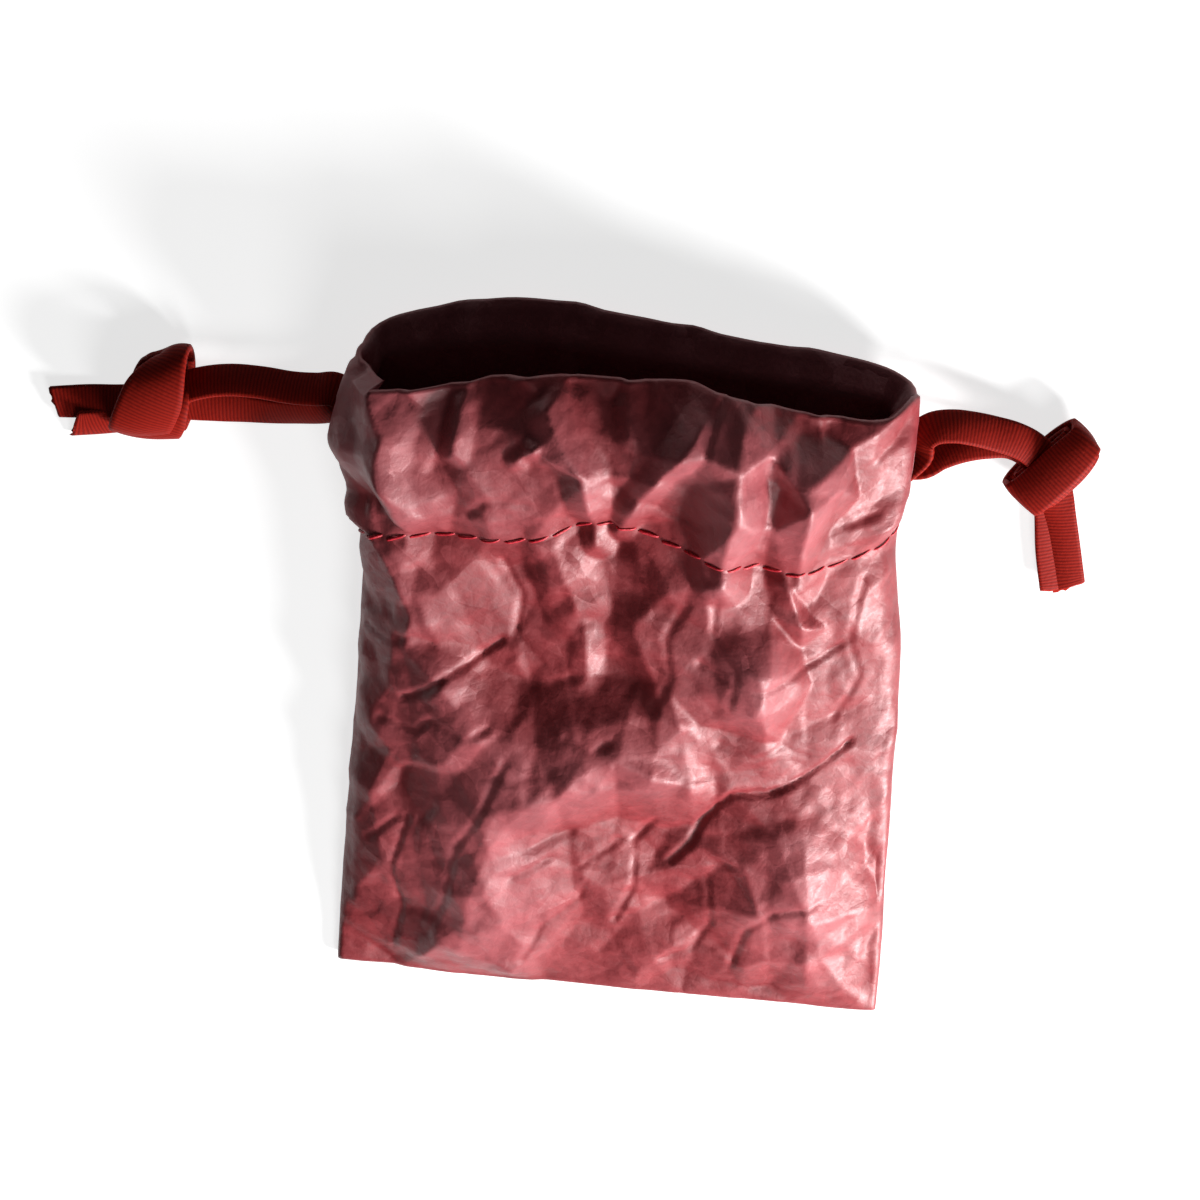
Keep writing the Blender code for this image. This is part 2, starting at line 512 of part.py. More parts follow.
def knot_lump(name, centre, turn):
    """An overhand knot's mass: a flattened ball with the lace's wrap standing proud round it."""
    size = Vector((KNOT_LENGTH, KNOT_WIDTH, KNOT_HEIGHT)) * MM
    shell = bmesh.new()
    bmesh.ops.create_uvsphere(shell, u_segments=20, v_segments=10, radius=0.5)
    for vert in shell.verts:
        vert.co = Vector((vert.co.x * size.x * 0.86, vert.co.y * size.y, vert.co.z * size.z * 0.9))
        band = max(0.0, 1 - abs(vert.co.x / MM - 0.35 * vert.co.y / MM) / (LACE_WIDTH * 0.6))
        vert.co.z *= 1 + 0.11 * min(1.0, 2 * band)
        vert.co.y *= 1 - 0.08 * (1 - min(1.0, 2 * band))
    mesh = bpy.data.meshes.new(name)
    shell.to_mesh(mesh)
    shell.free()
    lump = new_object(name, mesh, None, CUTTERS)
    lump.location = ORIGIN + Vector(centre) * MM
    lump.rotation_euler.z = math.radians(turn)
    lump.hide_render = True
    lump.display_type = 'WIRE'
    return lump


def lace(name, left, strands, tails, knot, knot_turn, material):
    """A whole lace: round the casing, out of its slit, into its knot and on to two cut ends."""
    start, turn = (0, 1) if left else (COLUMNS, -1)
    ring = [lane_point(start + turn * k, left) for k in range(1, 2 * COLUMNS)]
    side = -1 if left else 1
    height = lane_height(side, True, left)
    x, z, radius = side_tip(height, left)
    y = up_the_pouch(height, side, True)
    leave = radius + EXIT_REACH

    def placed(route):
        return tuple((x + side * (radius + out), y + up, above) for out, up, above in route)

    upper_strand, lower_strand = (placed(strand) for strand in strands)
    gate_up = (x + side * leave, y, z + EXIT_SPREAD)
    gate_down = (x + side * leave, y, z - EXIT_SPREAD)
    route_up = smooth_route((ring[0], gate_up) + upper_strand, 2)[::-1]
    route_down = smooth_route((ring[-1], gate_down) + lower_strand, 2)
    path = route_up + ring[1:-1] + route_down
    whole = new_object(name, ribbon(name, path, Vector((0, 1, 0))), material)
    pieces = [knot_lump(name + "_knot", placed([knot])[0], knot_turn)]
    for number, tail in enumerate(tails):
        label = "%s_tail_%d" % (name, number)
        piece = new_object(label, ribbon(label, smooth_route(placed(tail), 3), None), None, CUTTERS)
        piece.hide_render = True
        piece.display_type = 'WIRE'
        pieces.append(piece)
    for piece in pieces:
        union = whole.modifiers.new("join", 'BOOLEAN')
        union.operation, union.solver, union.object = 'UNION', 'EXACT', piece
    return whole


def finish_material(name, colour, roughness):
    material = bpy.data.materials.new(name)
    material.use_nodes = True
    shader = material.node_tree.nodes["Principled BSDF"]
    shader.inputs["Base Color"].default_value = (*colour, 1)
    shader.inputs["Roughness"].default_value = roughness
    return material


for thing in list(bpy.data.objects):
    bpy.data.objects.remove(thing)
POUCH = bpy.data.collections.new("drawstring_pouch")
CUTTERS = bpy.data.collections.new("cutters")
for collection in (POUCH, CUTTERS):
    bpy.context.scene.collection.children.link(collection)

washed_paper = finish_material("washed_paper", (0.38, 0.063, 0.075), 0.45)
red_lace = finish_material("red_lace", (0.25, 0.011, 0.006), 0.7)
dark_thread = finish_material("dark_red_thread", (0.195, 0.003, 0.007), 0.6)

pouch = new_object("pouch_body", pouch_mesh(), washed_paper)
for is_left in (True, False):
    cut_slit(pouch, is_left)
thread("hem_stitching", stitch_points(), True, dark_thread)
thread("side_seam_thread_left", seam_points(True), False, dark_thread)
thread("side_seam_thread_right", seam_points(False), False, dark_thread)
lace("drawstring_left", True, LEFT_STRANDS, LEFT_TAILS, LEFT_KNOT, LEFT_KNOT_TURN, red_lace)
lace("drawstring_right", False, RIGHT_STRANDS, RIGHT_TAILS, RIGHT_KNOT, RIGHT_KNOT_TURN, red_lace)
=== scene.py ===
"""Looks of the small drawstring pouch: crumpled washed paper, flat red laces and dark red stitches.

The pouch lies on its back panel. X runs across it, Y from the bottom fold to the mouth, Z up.
Sizes below are millimetres unless a name says otherwise.
"""

import math

import bpy
import numpy as np
from mathutils import Matrix, Vector
from mathutils.geometry import delaunay_2d_cdt


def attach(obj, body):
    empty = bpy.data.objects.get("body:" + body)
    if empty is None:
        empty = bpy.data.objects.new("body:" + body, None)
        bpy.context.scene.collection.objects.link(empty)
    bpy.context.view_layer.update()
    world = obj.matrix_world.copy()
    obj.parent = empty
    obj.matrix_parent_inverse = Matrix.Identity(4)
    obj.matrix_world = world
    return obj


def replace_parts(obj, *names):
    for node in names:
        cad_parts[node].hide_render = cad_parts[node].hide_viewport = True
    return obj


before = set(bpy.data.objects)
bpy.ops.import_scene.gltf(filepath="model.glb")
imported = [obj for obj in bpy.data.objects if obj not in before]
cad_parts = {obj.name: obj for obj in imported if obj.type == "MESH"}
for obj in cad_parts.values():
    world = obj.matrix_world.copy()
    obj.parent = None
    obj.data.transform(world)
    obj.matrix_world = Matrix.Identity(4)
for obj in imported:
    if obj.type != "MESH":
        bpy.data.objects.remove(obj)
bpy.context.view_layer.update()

MM = 0.001

# The pouch, as its solid is made
POUCH_WIDTH = 91.8
POUCH_LENGTH = 117.0
CASING_DEPTH = 26.0
BODY_LENGTH = POUCH_LENGTH - CASING_DEPTH
SHEET = 0.45
HEM_TAIL = 2.0
LACE_WIDTH = 5.0
LACE_THICKNESS = 1.0
CHANNEL = 2.6
LANE_GAP = 1.5
LANE_SHARE = 0.58
ARCH_FULLNESS = 0.72
FOLD_FREE_SIDE = 0.08
ORIGIN = Vector((0, -POUCH_LENGTH / 2, 0))

# Share of the height, drawn-in left, drawn-in right, front height, side radius, back lift
SECTIONS = (
    (0.00, 0.0, 0.0, 2.2, 1.0, 0.0),
    (0.19, 0.7, 0.9, 5.6, 1.7, 0.0),
    (0.50, 2.2, 3.0, 10.0, 2.6, 0.0),
    (0.76, 3.4, 4.8, 12.6, 3.4, 0.3),
    (1.00, 4.1, 8.2, 15.0, 4.2, 1.6),
    (1.55, 0.9, 7.5, 18.8, 4.8, 1.6),
    (2.00, 3.6, 8.0, 18.4, 4.4, 1.6),
)
RIM_FRONT = ((-1, -3.0), (-0.8, -5.0), (-0.5, -2.7), (-0.25, -0.7), (0, -0.2), (0.2, 0.0),
             (0.55, -4.0), (0.8, -4.8), (0.93, -2.8), (1, -3.3))
RIM_BACK = ((-1, -3.0), (-0.75, 1.2), (-0.4, 4.3), (0, 2.9), (0.35, 1.0), (0.75, -0.6), (1, -3.3))
STITCH_FRONT = ((-1, -5.5), (-0.65, -2.6), (-0.3, -1.0), (-0.08, 2.4), (0.3, -1.6), (0.65, -3.7),
                (0.85, -1.0), (1, 2.0))
STITCH_BACK = ((-1, -5.5), (-0.6, -2.0), (0, 0.0), (0.5, 0.6), (1, 2.0))

# Creases of the front panel: the points where they meet, in hundredths across (-100 to 100) and up
# (100 at the stitching, 200 at the rim), and how far the sheet stands out there. The heights were
# estimated from the photo's shading
CREASES = (
    (-100, 1, 0), (-75, 0, 0), (-50, 0, 0), (-24, 0, 0), (1, 0, 0), (27, 0, 0), (52, 0, 0), (76, 0, 0),
    (98, 0, 0), (-100, 12, 0), (-69, 5, 2.1), (-61, 11, 3.4), (-39, 7, 2.9), (-18, 14, 1.5), (-3, 10, 0.6),
    (16, 11, 1.1), (50, 12, 0.9), (85, 7, 1.2), (-65, 19, 2.3), (-49, 19, 4.2), (-46, 16, 4.2),
    (-40, 24, 4.2), (-25, 24, 3.5), (10, 20, -0.6), (19, 23, -1.9), (32, 17, -0.4), (75, 16, 2.1),
    (93, 16, -0.9), (100, 25, 0), (-100, 30, 0), (-81, 30, 3), (-68, 31, 3.2), (-57, 29, 4.2),
    (-47, 34, 4.2), (-4, 26, 1.2), (15, 34, -1.3), (18, 31, -0.5), (39, 35, -0.1), (52, 26, 3.1),
    (68, 28, 4.2), (71, 26, 4.2), (90, 34, -0.9), (-74, 42, 2.6), (-30, 36, 2), (1, 41, -1.9),
    (19, 40, -2), (27, 42, -1.7), (30, 38, -0.3), (46, 36, 2.2), (57, 44, 2.1), (62, 36, 3.5),
    (76, 38, 1.6), (100, 40, 0), (-100, 49, 0), (-86, 45, 2.9), (-60, 45, 4.2), (-51, 46, 4.2),
    (-41, 45, 4.2), (-30, 49, 4.2), (-20, 49, 4.2), (-14, 53, 4), (-10, 47, 2.3), (25, 53, 2.3),
    (34, 54, 0.3), (35, 46, -2), (41, 51, -0.4), (71, 54, -0.9), (80, 50, -0.7), (90, 46, -0.9),
    (-100, 64, 0), (-81, 59, 2.8), (-78, 56, 2.8), (-62, 56, 4.2), (-49, 61, 4.2), (-28, 59, 2),
    (-14, 57, 3.5), (-1, 57, 4), (12, 59, 2.4), (55, 55, -0.9), (55, 64, -0.9), (62, 60, -0.9),
    (64, 55, -0.9), (80, 62, -0.9), (88, 57, -0.9), (100, 55, 0), (-78, 65, 2.6), (-60, 70, 3.6),
    (-55, 70, 2.5), (-45, 72, -0.9), (-32, 69, -2), (-21, 70, -1.6), (-9, 70, -2), (5, 70, -1.7),
    (16, 71, 1), (20, 65, 1.5), (26, 66, 0.4), (32, 74, 3.2), (44, 72, 4), (82, 70, -0.9), (100, 70, 0),
    (-100, 79, 0), (-88, 84, 0.5), (-74, 78, 2.8), (-72, 84, 3.1), (-59, 78, 0.1), (-50, 76, -0.9),
    (-36, 79, -2), (-35, 85, -1.9), (-26, 85, -1.8), (-16, 76, -1.1), (-5, 78, -2), (16, 79, 1.4),
    (25, 81, 2.1), (41, 81, 4.2), (49, 81, 4.2), (61, 84, -0.3), (65, 76, -0.9), (76, 79, -0.9),
    (85, 82, -0.4), (100, 84, 0), (-100, 93, 0), (-79, 94, 4.2), (-65, 95, 1.9), (-65, 88, 2.2),
    (-41, 89, -1), (-26, 94, 0.1), (-22, 86, -2), (-19, 94, -1), (-3, 94, -2), (5, 93, -0.4),
    (11, 86, -0.4), (29, 86, 2.5), (38, 90, 1.3), (51, 91, 0.9), (61, 90, 2.2), (65, 91, -0.9),
    (71, 88, -0.7), (79, 93, -0.3), (100, 95, 0), (-100, 99, 0), (-85, 100, 4.2), (-72, 100, 1.2),
    (-60, 100, 0.9), (-50, 97, 0.8), (-46, 100, 2), (-32, 100, 1.2), (-22, 100, -0.8), (-12, 100, -1),
    (-5, 100, -0.9), (2, 100, -0.5), (11, 100, 0.2), (26, 100, 1.1), (38, 100, -0.4), (48, 99, -0.9),
    (55, 100, 0.2), (64, 100, -1), (75, 100, -1), (85, 100, -0.7), (-11, 109, 0), (-100, 121, 0),
    (-40, 125, 1.2), (19, 118, -1.5), (59, 123, 0.5), (100, 116, 0), (-82, 126, 0.3), (-51, 134, 0.4),
    (-18, 126, 0.9), (48, 134, 1.2), (69, 130, -1.9), (-70, 135, 4.2), (-7, 140, 0.4), (36, 141, 4.2),
    (-100, 151, 0), (-26, 150, 0.3), (14, 148, 1.5), (21, 146, 1.2), (77, 148, -1.9), (100, 152, 0),
    (-76, 160, 4.2), (-56, 160, 1.7), (-47, 157, 1.8), (-25, 162, 1.9), (-1, 164, -0.2), (5, 159, 0.5),
    (49, 160, 0.4), (56, 157, 4.2), (68, 164, 1.3), (-100, 169, 0), (-71, 168, 4.2), (-34, 173, 0.7),
    (24, 173, 4.2), (35, 171, 3.8), (52, 168, 3.8), (100, 171, 0), (-46, 176, 1.5), (-20, 176, -0.7),
    (43, 182, 3.1), (71, 184, -2.3), (-100, 195, 0), (-65, 188, 2.3), (-57, 195, 0.4), (-28, 190, -2.1),
    (-6, 188, -2.2), (-79, 200, 4.2), (-72, 200, 2.9), (-68, 200, 3.4), (-46, 200, -2.5), (-30, 200, -2.5),
    (-11, 200, -2.5), (5, 200, -2.3), (20, 200, -2.5), (30, 200, -1.4), (44, 200, -2.5), (54, 200, -2.5),
    (70, 200, -2.5), (82, 200, -2.5), (100, 200, 0),
)
# Folds of the back panel's casing: height, half-width, sharpness, and points in the same hundredths
BACK_FOLDS = (
    (1.3, 4.5, 1.4, ((-62, 198), (-58, 110))),
    (1.1, 4.0, 1.4, ((-22, 198), (-26, 110))),
    (1.3, 4.5, 1.4, ((18, 198), (22, 110))),
    (1.1, 4.5, 1.4, ((58, 198), (56, 110))),
)

# Gathers of the front panel's casing and long folds below it, given in the same way
FRONT_FOLDS = (
    (1.7, 4.0, 1.1, ((-80, 200), (-71, 174), (-73, 108), (-74, 98))),
    (2.6, 3.6, 1.0, ((-25, 186), (-11, 144), (-10, 96))),
    (1.5, 3.2, 1.0, ((-34, 200), (-25, 186))),
    (1.2, 3.0, 1.0, ((26, 200), (22, 186))),
    (1.6, 3.6, 1.0, ((38, 200), (34, 186))),
    (1.3, 2.6, 1.0, ((-52, 200), (-50, 162))),
    (1.2, 2.6, 1.0, ((-2, 200), (2, 170))),
    (1.2, 2.6, 1.0, ((60, 200), (62, 180))),
    (1.4, 2.0, 1.0, ((-31, 156), (-21, 172))),
    (2.2, 2.8, 1.0, ((22, 186), (12, 150), (-3, 99))),
    (2.8, 5.2, 1.0, ((34, 188), (34, 134), (33, 97))),
    (2.4, 5.0, 1.0, ((83, 200), (55, 168), (60, 108), (60, 98))),
    (2.2, 5.6, 1.0, ((-24, 98), (-17, 84))),
    (1.2, 3.0, 1.0, ((-17, 88), (-14, 78), (-13, 70))),
    (1.8, 7.0, 1.0, ((45, 81), (50, 62))),
    (1.9, 12.0, 1.1, ((-52, 12), (-49, 25), (-41, 39), (-31, 47), (-21, 53), (-10, 49), (6, 51))),
    (1.4, 6.0, 1.0, ((66, 42), (72, 8))),
    (1.3, 5.5, 1.0, ((-70, 88), (-60, 72))),
)

# Thin sharp creases of the front panel, seen in the photo: depth, and points in the same hundredths
FINE_CREASES = (
    (0.72, ((-74, 67), (-66, 69), (-60, 72), (-53, 74), (-43, 78))),
    (0.85, ((20, 33), (27, 38), (31, 44), (40, 51), (52, 52), (63, 55), (80, 62))),
    (0.65, ((26, 79), (36, 77), (51, 78), (62, 80), (79, 84))),
    (0.52, ((-82, 62), (-70, 60), (-64, 63), (-52, 60), (-45, 62))),
    (0.38, ((-64, 13), (-57, 24), (-54, 36), (-46, 44), (-38, 56))),
    (0.59, ((2, 18), (8, 27), (7, 36), (14, 42))),
    (0.45, ((44, 8), (48, 20), (58, 27), (72, 30))),
    (0.45, ((-30, 8), (-24, 17), (-12, 22), (-5, 33))),
    (0.45, ((32, 93), (30, 86), (38, 80), (36, 72))),
    (0.52, ((-42, 95), (-36, 88), (-38, 80), (-28, 73))),
    (0.45, ((84, 95), (78, 84), (82, 76), (74, 68))),
    (0.45, ((-86, 34), (-76, 40), (-70, 38), (-62, 44))),
    (0.39, ((-62, 182), (-55, 162), (-58, 146), (-48, 134))),
    (0.39, ((42, 172), (47, 152), (45, 130))),
    (0.39, ((-50, 118), (-42, 130), (-30, 126))),
    (0.45, ((-18, 60), (-10, 57), (-2, 60), (10, 56))),
    (0.45, ((-34, 30), (-22, 33), (-12, 30), (2, 36))),
    (0.40, ((10, 66), (16, 74), (14, 82), (22, 90))),
    (0.40, ((34, 62), (46, 60), (56, 63), (66, 60))),
    (0.40, ((-90, 80), (-80, 78), (-72, 80), (-62, 77))),
    (0.40, ((-78, 6), (-74, 18), (-78, 28), (-72, 40))),
    (0.40, ((20, 10), (30, 13), (36, 20), (34, 30))),
    (0.35, ((-90, 140), (-84, 128), (-86, 116))),
    (0.35, ((8, 130), (16, 120), (26, 122))),
    (0.35, ((68, 142), (76, 130), (84, 132))),
)
CREASE_WIDTH = 1.1  # from a thin crease's line to the sheet beside it
CREASE_SHARPNESS = 0.8
LIP_OFFSET, LIP_WIDTH = 1.6, 3.0  # the sheet stands proud to the right of and below the line
LIP_SHARE = 0.7  # of the crease's depth

# The small crumple: spacing and slope of its flat facets, coarse and fine
CRUMPLES = ((7.0, 0.20), (2.6, 0.09))
CRUMPLE_LENGTH = POUCH_LENGTH + 12  # reaches past the highest point of the rim
FRONT_SEED, BACK_SEED = 11, 51
BACK_CRUMPLE = 0.4  # share of the crumple that the back panel has
SIDE_CRUMPLE, SIDE_FADE = 0.15, 1.6  # its share at the side folds, and how fast it grows from there
BOTTOM_FADE = 4.0  # from the bottom fold to the full crumple

# Routes of the four free ends, each from its slit through its knot to its cut end: out from the side
# fold, up from the slit's middle, above the floor. The last row of each is how the lace is rolled
# about its own line, as (share of the length, degrees), and then how far its cut end slants
LEFT_UPPER = (((1.6, 1.6, 7.2), (4.5, 1.0, 6.4), (8.4, 0.5, 5.4), (12.7, 0.6, 4.8), (17.5, 0.4, 4.4),
               (22.0, -0.6, 4.2), (27.0, -2.8, 3.8), (31.0, -4.7, 2.9), (35.0, -5.7, 2.1), (39.3, -6.3, 1.6),
               (44.9, -7.2, 1.2)),
              ((0, 0), (0.08, -25), (0.2, -38), (0.55, -38), (0.75, -30), (0.9, -12), (1, 6)), 0.1)
LEFT_LOWER = (((1.6, -2.0, 5.6), (4.5, -3.4, 4.8), (8.9, -4.3, 3.8), (13.2, -4.8, 2.9), (18.0, -4.7, 2.8),
               (22.0, -4.8, 2.8), (27.0, -5.6, 2.6), (31.0, -7.6, 2.0), (35.0, -9.0, 1.5), (38.2, -9.7, 1.2),
               (41.8, -10.3, 1.1)),
              ((0, 0), (0.1, 8), (0.26, 16), (0.4, 6), (0.55, -14), (0.72, 8), (1, 12)), -0.6)
RIGHT_UPPER = (((0.9, 3.0, 6.4), (0.9, 5.4, 6.6), (2.6, 7.2, 6.6), (5.6, 7.7, 6.2), (8.8, 7.3, 5.6),
                (11.8, 6.6, 5.0), (14.8, 5.8, 4.6), (17.6, 4.4, 4.2), (20.4, 1.8, 3.8), (22.0, -2.2, 3.0),
                (23.3, -6.4, 2.5), (24.9, -11.8, 2.1), (26.8, -18.6, 1.8)),
               ((0, 50), (0.12, 52), (0.26, 50), (0.42, 34), (0.6, 20), (0.75, -14), (1, -12)), 0.35)
RIGHT_LOWER = (((1.6, 1.6, 6.4), (4.0, 2.8, 5.4), (7.2, 3.8, 4.2), (10.8, 4.4, 3.2), (14.4, 4.6, 2.8),
                (17.8, 3.2, 2.8), (20.6, 0.0, 2.4), (21.6, -3.6, 1.8), (22.4, -7.6, 1.3), (23.3, -12.6, 1.1),
                (25.0, -19.2, 1.1)),
               ((0, 30), (0.12, 36), (0.3, 26), (0.5, 10), (0.7, 0), (1, 0)), -0.2)
LACE_CURL = 28.0  # degrees that a free lace arches across its width
KNOT_CURL, KNOT_THICKNESS = 30.0, 1.1
FRAY = 0.16  # unevenness of a cut end
END_REACH = 2.5  # how far back from its end a slanting cut draws the lace
CASING_RINGS, END_RINGS, WRAP_RINGS = 180, 110, 72
ROUTE_STEPS = 400
HIDDEN_STEPS = 3  # columns of the casing that a free end starts inside it
LACE_SEED, STITCH_SEED = 7, 5
FLOOR_GAP = 0.02  # the least height of a lace above the floor

# Wraps of the knots: centre (out, up, above), half of the long way and of the height, 1 for an oval
# loop and less for a flatter one, its width, which way its width points at its upper and lower end,
# in degrees from the picture's right, how far that side is tipped up, and its width at the upper end
LEFT_WRAPS = (((28.4, -2.4, 4.3), 7.3, 3.9, 1.0, 9.0, 22.0, 2.0, 0.0, 0.5),
              ((28.6, -6.0, 3.2), 4.4, 3.0, 1.0, 9.6, 14.0, 0.0, 0.0, 0.8),
              ((28.4, -2.8, 3.2), 5.0, 1.6, 0.7, 7.6, 14.0, 0.0, 0.0, 0.6))
RIGHT_WRAPS = (((21.0, 1.8, 3.8), 6.7, 2.5, 0.55, 6.4, -40.0, -34.0, 20.0, 0.8),
               ((22.0, 1.6, 3.2), 5.2, 1.8, 0.5, 6.6, -37.0, -37.0, 12.0, 0.8),
               ((21.2, 1.8, 3.0), 5.0, 1.0, 0.6, 6.0, -37.0, -37.0, 12.0, 0.9))
LEFT_WRAP_WAY, RIGHT_WRAP_WAY = 68.0, 53.0  # degrees from the picture's right to the long way

# The grid that the sheet is drawn on. Inner faces use every second row of the outer face
FRONT_COLUMNS, BACK_COLUMNS = 208, 60
AROUND = FRONT_COLUMNS + BACK_COLUMNS
BODY_ROWS, CASING_ROWS = 154, 50
FIRST_ROW = 1.2  # height of the first row, above the rounded bottom fold
ARCH_STEPS = 240  # along the curves that the grid's columns are spaced on
CORNER_POINTS, FLAT_POINTS = 25, 81
CASING_PUFF = 1.8  # the casing stands out this much more than its crease points say
PUFF_RISE = 6  # and all of it from a sixth of the casing's depth
CASING_DIP = 0.4  # and dips no further than this
CHANNEL_OPENS = 0.14, 0.16  # shares of the casing in which the channel opens, at its two ends
HEM_LEAVES = 0.18, 0.20  # and in which the hem leaves the outer folds
HEM_FOLLOWS = 0.3  # of the outer folds, along the channel's middle
SLIT_LENGTH, SLIT_HEIGHT = 9.0, 5.4
SLIT_ROW = 20  # rows below the rim, where the slit's columns are counted
HEM_GAP = 0.45  # between a lace in the casing and the hem
RIM_ROUND = 0.6  # of the sheet's thickness, that the rim's edge rises

STITCH_PITCH, STITCH_LENGTH, STITCH_RADIUS = 3.6, 3.45, 0.23
STITCH_TILT = 11  # degrees from the line of stitches
STITCH_FLATNESS = 0.6
STITCH_RISE, STITCH_SINK = 1.15, 0.75  # of its radius, at its middle and at its ends
STITCH_SIDES, STITCH_RINGS = 8, 11

# The camera looks down on the pouch from the mouth's side
CAMERA_TILT, CAMERA_TURN, CAMERA_ROLL = math.radians(30), math.radians(3), math.radians(4.5)
CAMERA_DISTANCE = 368.0
CAMERA_TARGET = Vector((-1.07, 0.7, 3.9))
TARGET_PIXEL = (622, 690)  # where the target shows in a frame of 1200 x 1200
PIXELS_PER_MM = 6.4  # at the target
FRAME_PIXELS = 1200
SENSOR = 36.0

# The light comes from the picture's lower right: name, place and diameter in metres, watts
LIGHTS = (("key", (0.34, -0.21, 0.185), 0.12, 3.7),
          ("sheen", (0.18, -0.32, 0.38), 0.22, 1.0))
LIGHT_TARGET = Vector((0, 0, 0.005))
WORLD_LIGHT = 0.035
FLOOR_GLOW = 0.74
FLOOR_SIZE, FLOOR_DROP = 4, 0.00005  # in metres
BUMP_DISTANCE = 0.0001  # in metres
RIB_PITCH = 0.55


def linear(hex_colour):
    """sRGB hex to linear colour with alpha."""
    channels = [int(hex_colour[i:i + 2], 16) / 255 for i in (1, 3, 5)]
    return tuple(c / 12.92 if c <= 0.04045 else ((c + 0.055) / 1.055) ** 2.4 for c in channels) + (1.0,)


def place_camera():
    back = Vector((math.sin(CAMERA_TILT) * math.sin(CAMERA_TURN),
                   math.sin(CAMERA_TILT) * math.cos(CAMERA_TURN), math.cos(CAMERA_TILT)))
    level = Vector((0, 1, 0)).cross(back).normalized()
    upright = back.cross(level)
    right = level * math.cos(CAMERA_ROLL) + upright * math.sin(CAMERA_ROLL)
    up = upright * math.cos(CAMERA_ROLL) - level * math.sin(CAMERA_ROLL)
    data = bpy.data.cameras.new("camera")
    data.sensor_width = SENSOR
    data.lens = SENSOR * CAMERA_DISTANCE / (FRAME_PIXELS / PIXELS_PER_MM)
    data.shift_x = (FRAME_PIXELS / 2 - TARGET_PIXEL[0]) / FRAME_PIXELS
    data.shift_y = (TARGET_PIXEL[1] - FRAME_PIXELS / 2) / FRAME_PIXELS
    data.clip_start, data.clip_end = 0.01, 10
    camera = bpy.data.objects.new("camera", data)
    turn = Matrix((right, up, back)).transposed().to_4x4()
    camera.matrix_world = Matrix.Translation((CAMERA_TARGET + back * CAMERA_DISTANCE) * MM) @ turn
    bpy.context.scene.collection.objects.link(camera)
    bpy.context.scene.camera = camera


def curve_through(points, place):
    """Values at places, a number or an array, on a smooth curve through (place, value) points."""
    places = np.array([point[0] for point in points], float)
    values = np.array([point[1] for point in points], float)
    slopes = np.empty(len(places))
    slopes[1:-1] = (values[2:] - values[:-2]) / (places[2:] - places[:-2])
    slopes[0] = (values[1] - values[0]) / (places[1] - places[0])
    slopes[-1] = (values[-1] - values[-2]) / (places[-1] - places[-2])
    place = np.clip(place, places[0], places[-1])
    i = np.clip(np.searchsorted(places, place, side="right") - 1, 0, len(places) - 2)
    span = places[i + 1] - places[i]
    t = (place - places[i]) / span
    return ((2 * t**3 - 3 * t**2 + 1) * values[i] + (t**3 - 2 * t**2 + t) * span * slopes[i]
            + (3 * t**2 - 2 * t**3) * values[i + 1] + (t**3 - t**2) * span * slopes[i + 1])


def distances(points):
    """How far along a row of points each one lies."""
    return np.concatenate(([0.0], np.cumsum(np.linalg.norm(np.diff(points, axis=0), axis=1))))


def section_at(height):
    """Left edge, right edge, front height, side radius and back lift at a share of the height."""
    drawn_left, drawn_right, front, radius, lift = (
        float(curve_through([(row[0], row[k]) for row in SECTIONS], height)) for k in range(1, 6))
    return -POUCH_WIDTH / 2 + drawn_left, POUCH_WIDTH / 2 - drawn_right, front, radius, max(lift, 0.0)


def panel_outline(height, front, columns):
    """Core x, core z, normal x and normal z at even steps along one panel's cross-section."""
    left, right, top, radius, lift = section_at(height)
    tip_left, tip_right, base = left + radius, right - radius, lift + radius
    middle, half = (tip_left + tip_right) / 2, (tip_right - tip_left) / 2
    rise = max(top - radius - base, 0.01)
    if front:
        s = -np.cos(np.pi * np.arange(ARCH_STEPS + 1) / ARCH_STEPS)
        x = middle + half * s
        z = base + rise * np.maximum(1 - s * s, 0) ** ARCH_FULLNESS
        run, climb = np.gradient(x), np.gradient(z)
        size = np.hypot(run, climb)
        nx, nz = -climb / size, run / size
        nx[0], nz[0], nx[-1], nz[-1] = -1, 0, 1, 0
    else:
        turn = np.pi / 2 * np.arange(CORNER_POINTS) / (CORNER_POINTS - 1)
        flat = np.linspace(tip_left, tip_right, FLAT_POINTS)[1:-1]
        x = np.concatenate((np.full(CORNER_POINTS, tip_left), flat, np.full(CORNER_POINTS, tip_right)))
        z = np.full(len(x), base)
        nx = np.concatenate((-np.cos(turn), np.zeros(len(flat)), np.sin(turn)))
        nz = np.concatenate((-np.sin(turn), -np.ones(len(flat)), -np.cos(turn)))
    outer = np.stack((x + radius * nx, z + radius * nz), axis=1)
    length = distances(outer)
    even = np.linspace(0.0, length[-1], columns + 1)
    x, z, nx, nz = (np.interp(even, length, row) for row in (x, z, nx, nz))
    size = np.hypot(nx, nz)
    return x, z, nx / size, nz / size, radius


def up_the_pouch(height, across, front):
    """Distance from the bottom fold, for arrays of height shares and places across."""
    stitch = BODY_LENGTH + curve_through(STITCH_FRONT if front else STITCH_BACK, across)
    rim = POUCH_LENGTH + curve_through(RIM_FRONT if front else RIM_BACK, across)
    return np.where(height <= 1, stitch * height, stitch + (rim - stitch) * (height - 1))


def flat_place(height, across):
    """Where a point lies on the flat panel."""
    height, across = np.asarray(height, float), np.asarray(across, float)
    up = np.where(height <= 1, BODY_LENGTH * height, BODY_LENGTH + CASING_DEPTH * (height - 1))
    return across * POUCH_WIDTH / 2, up


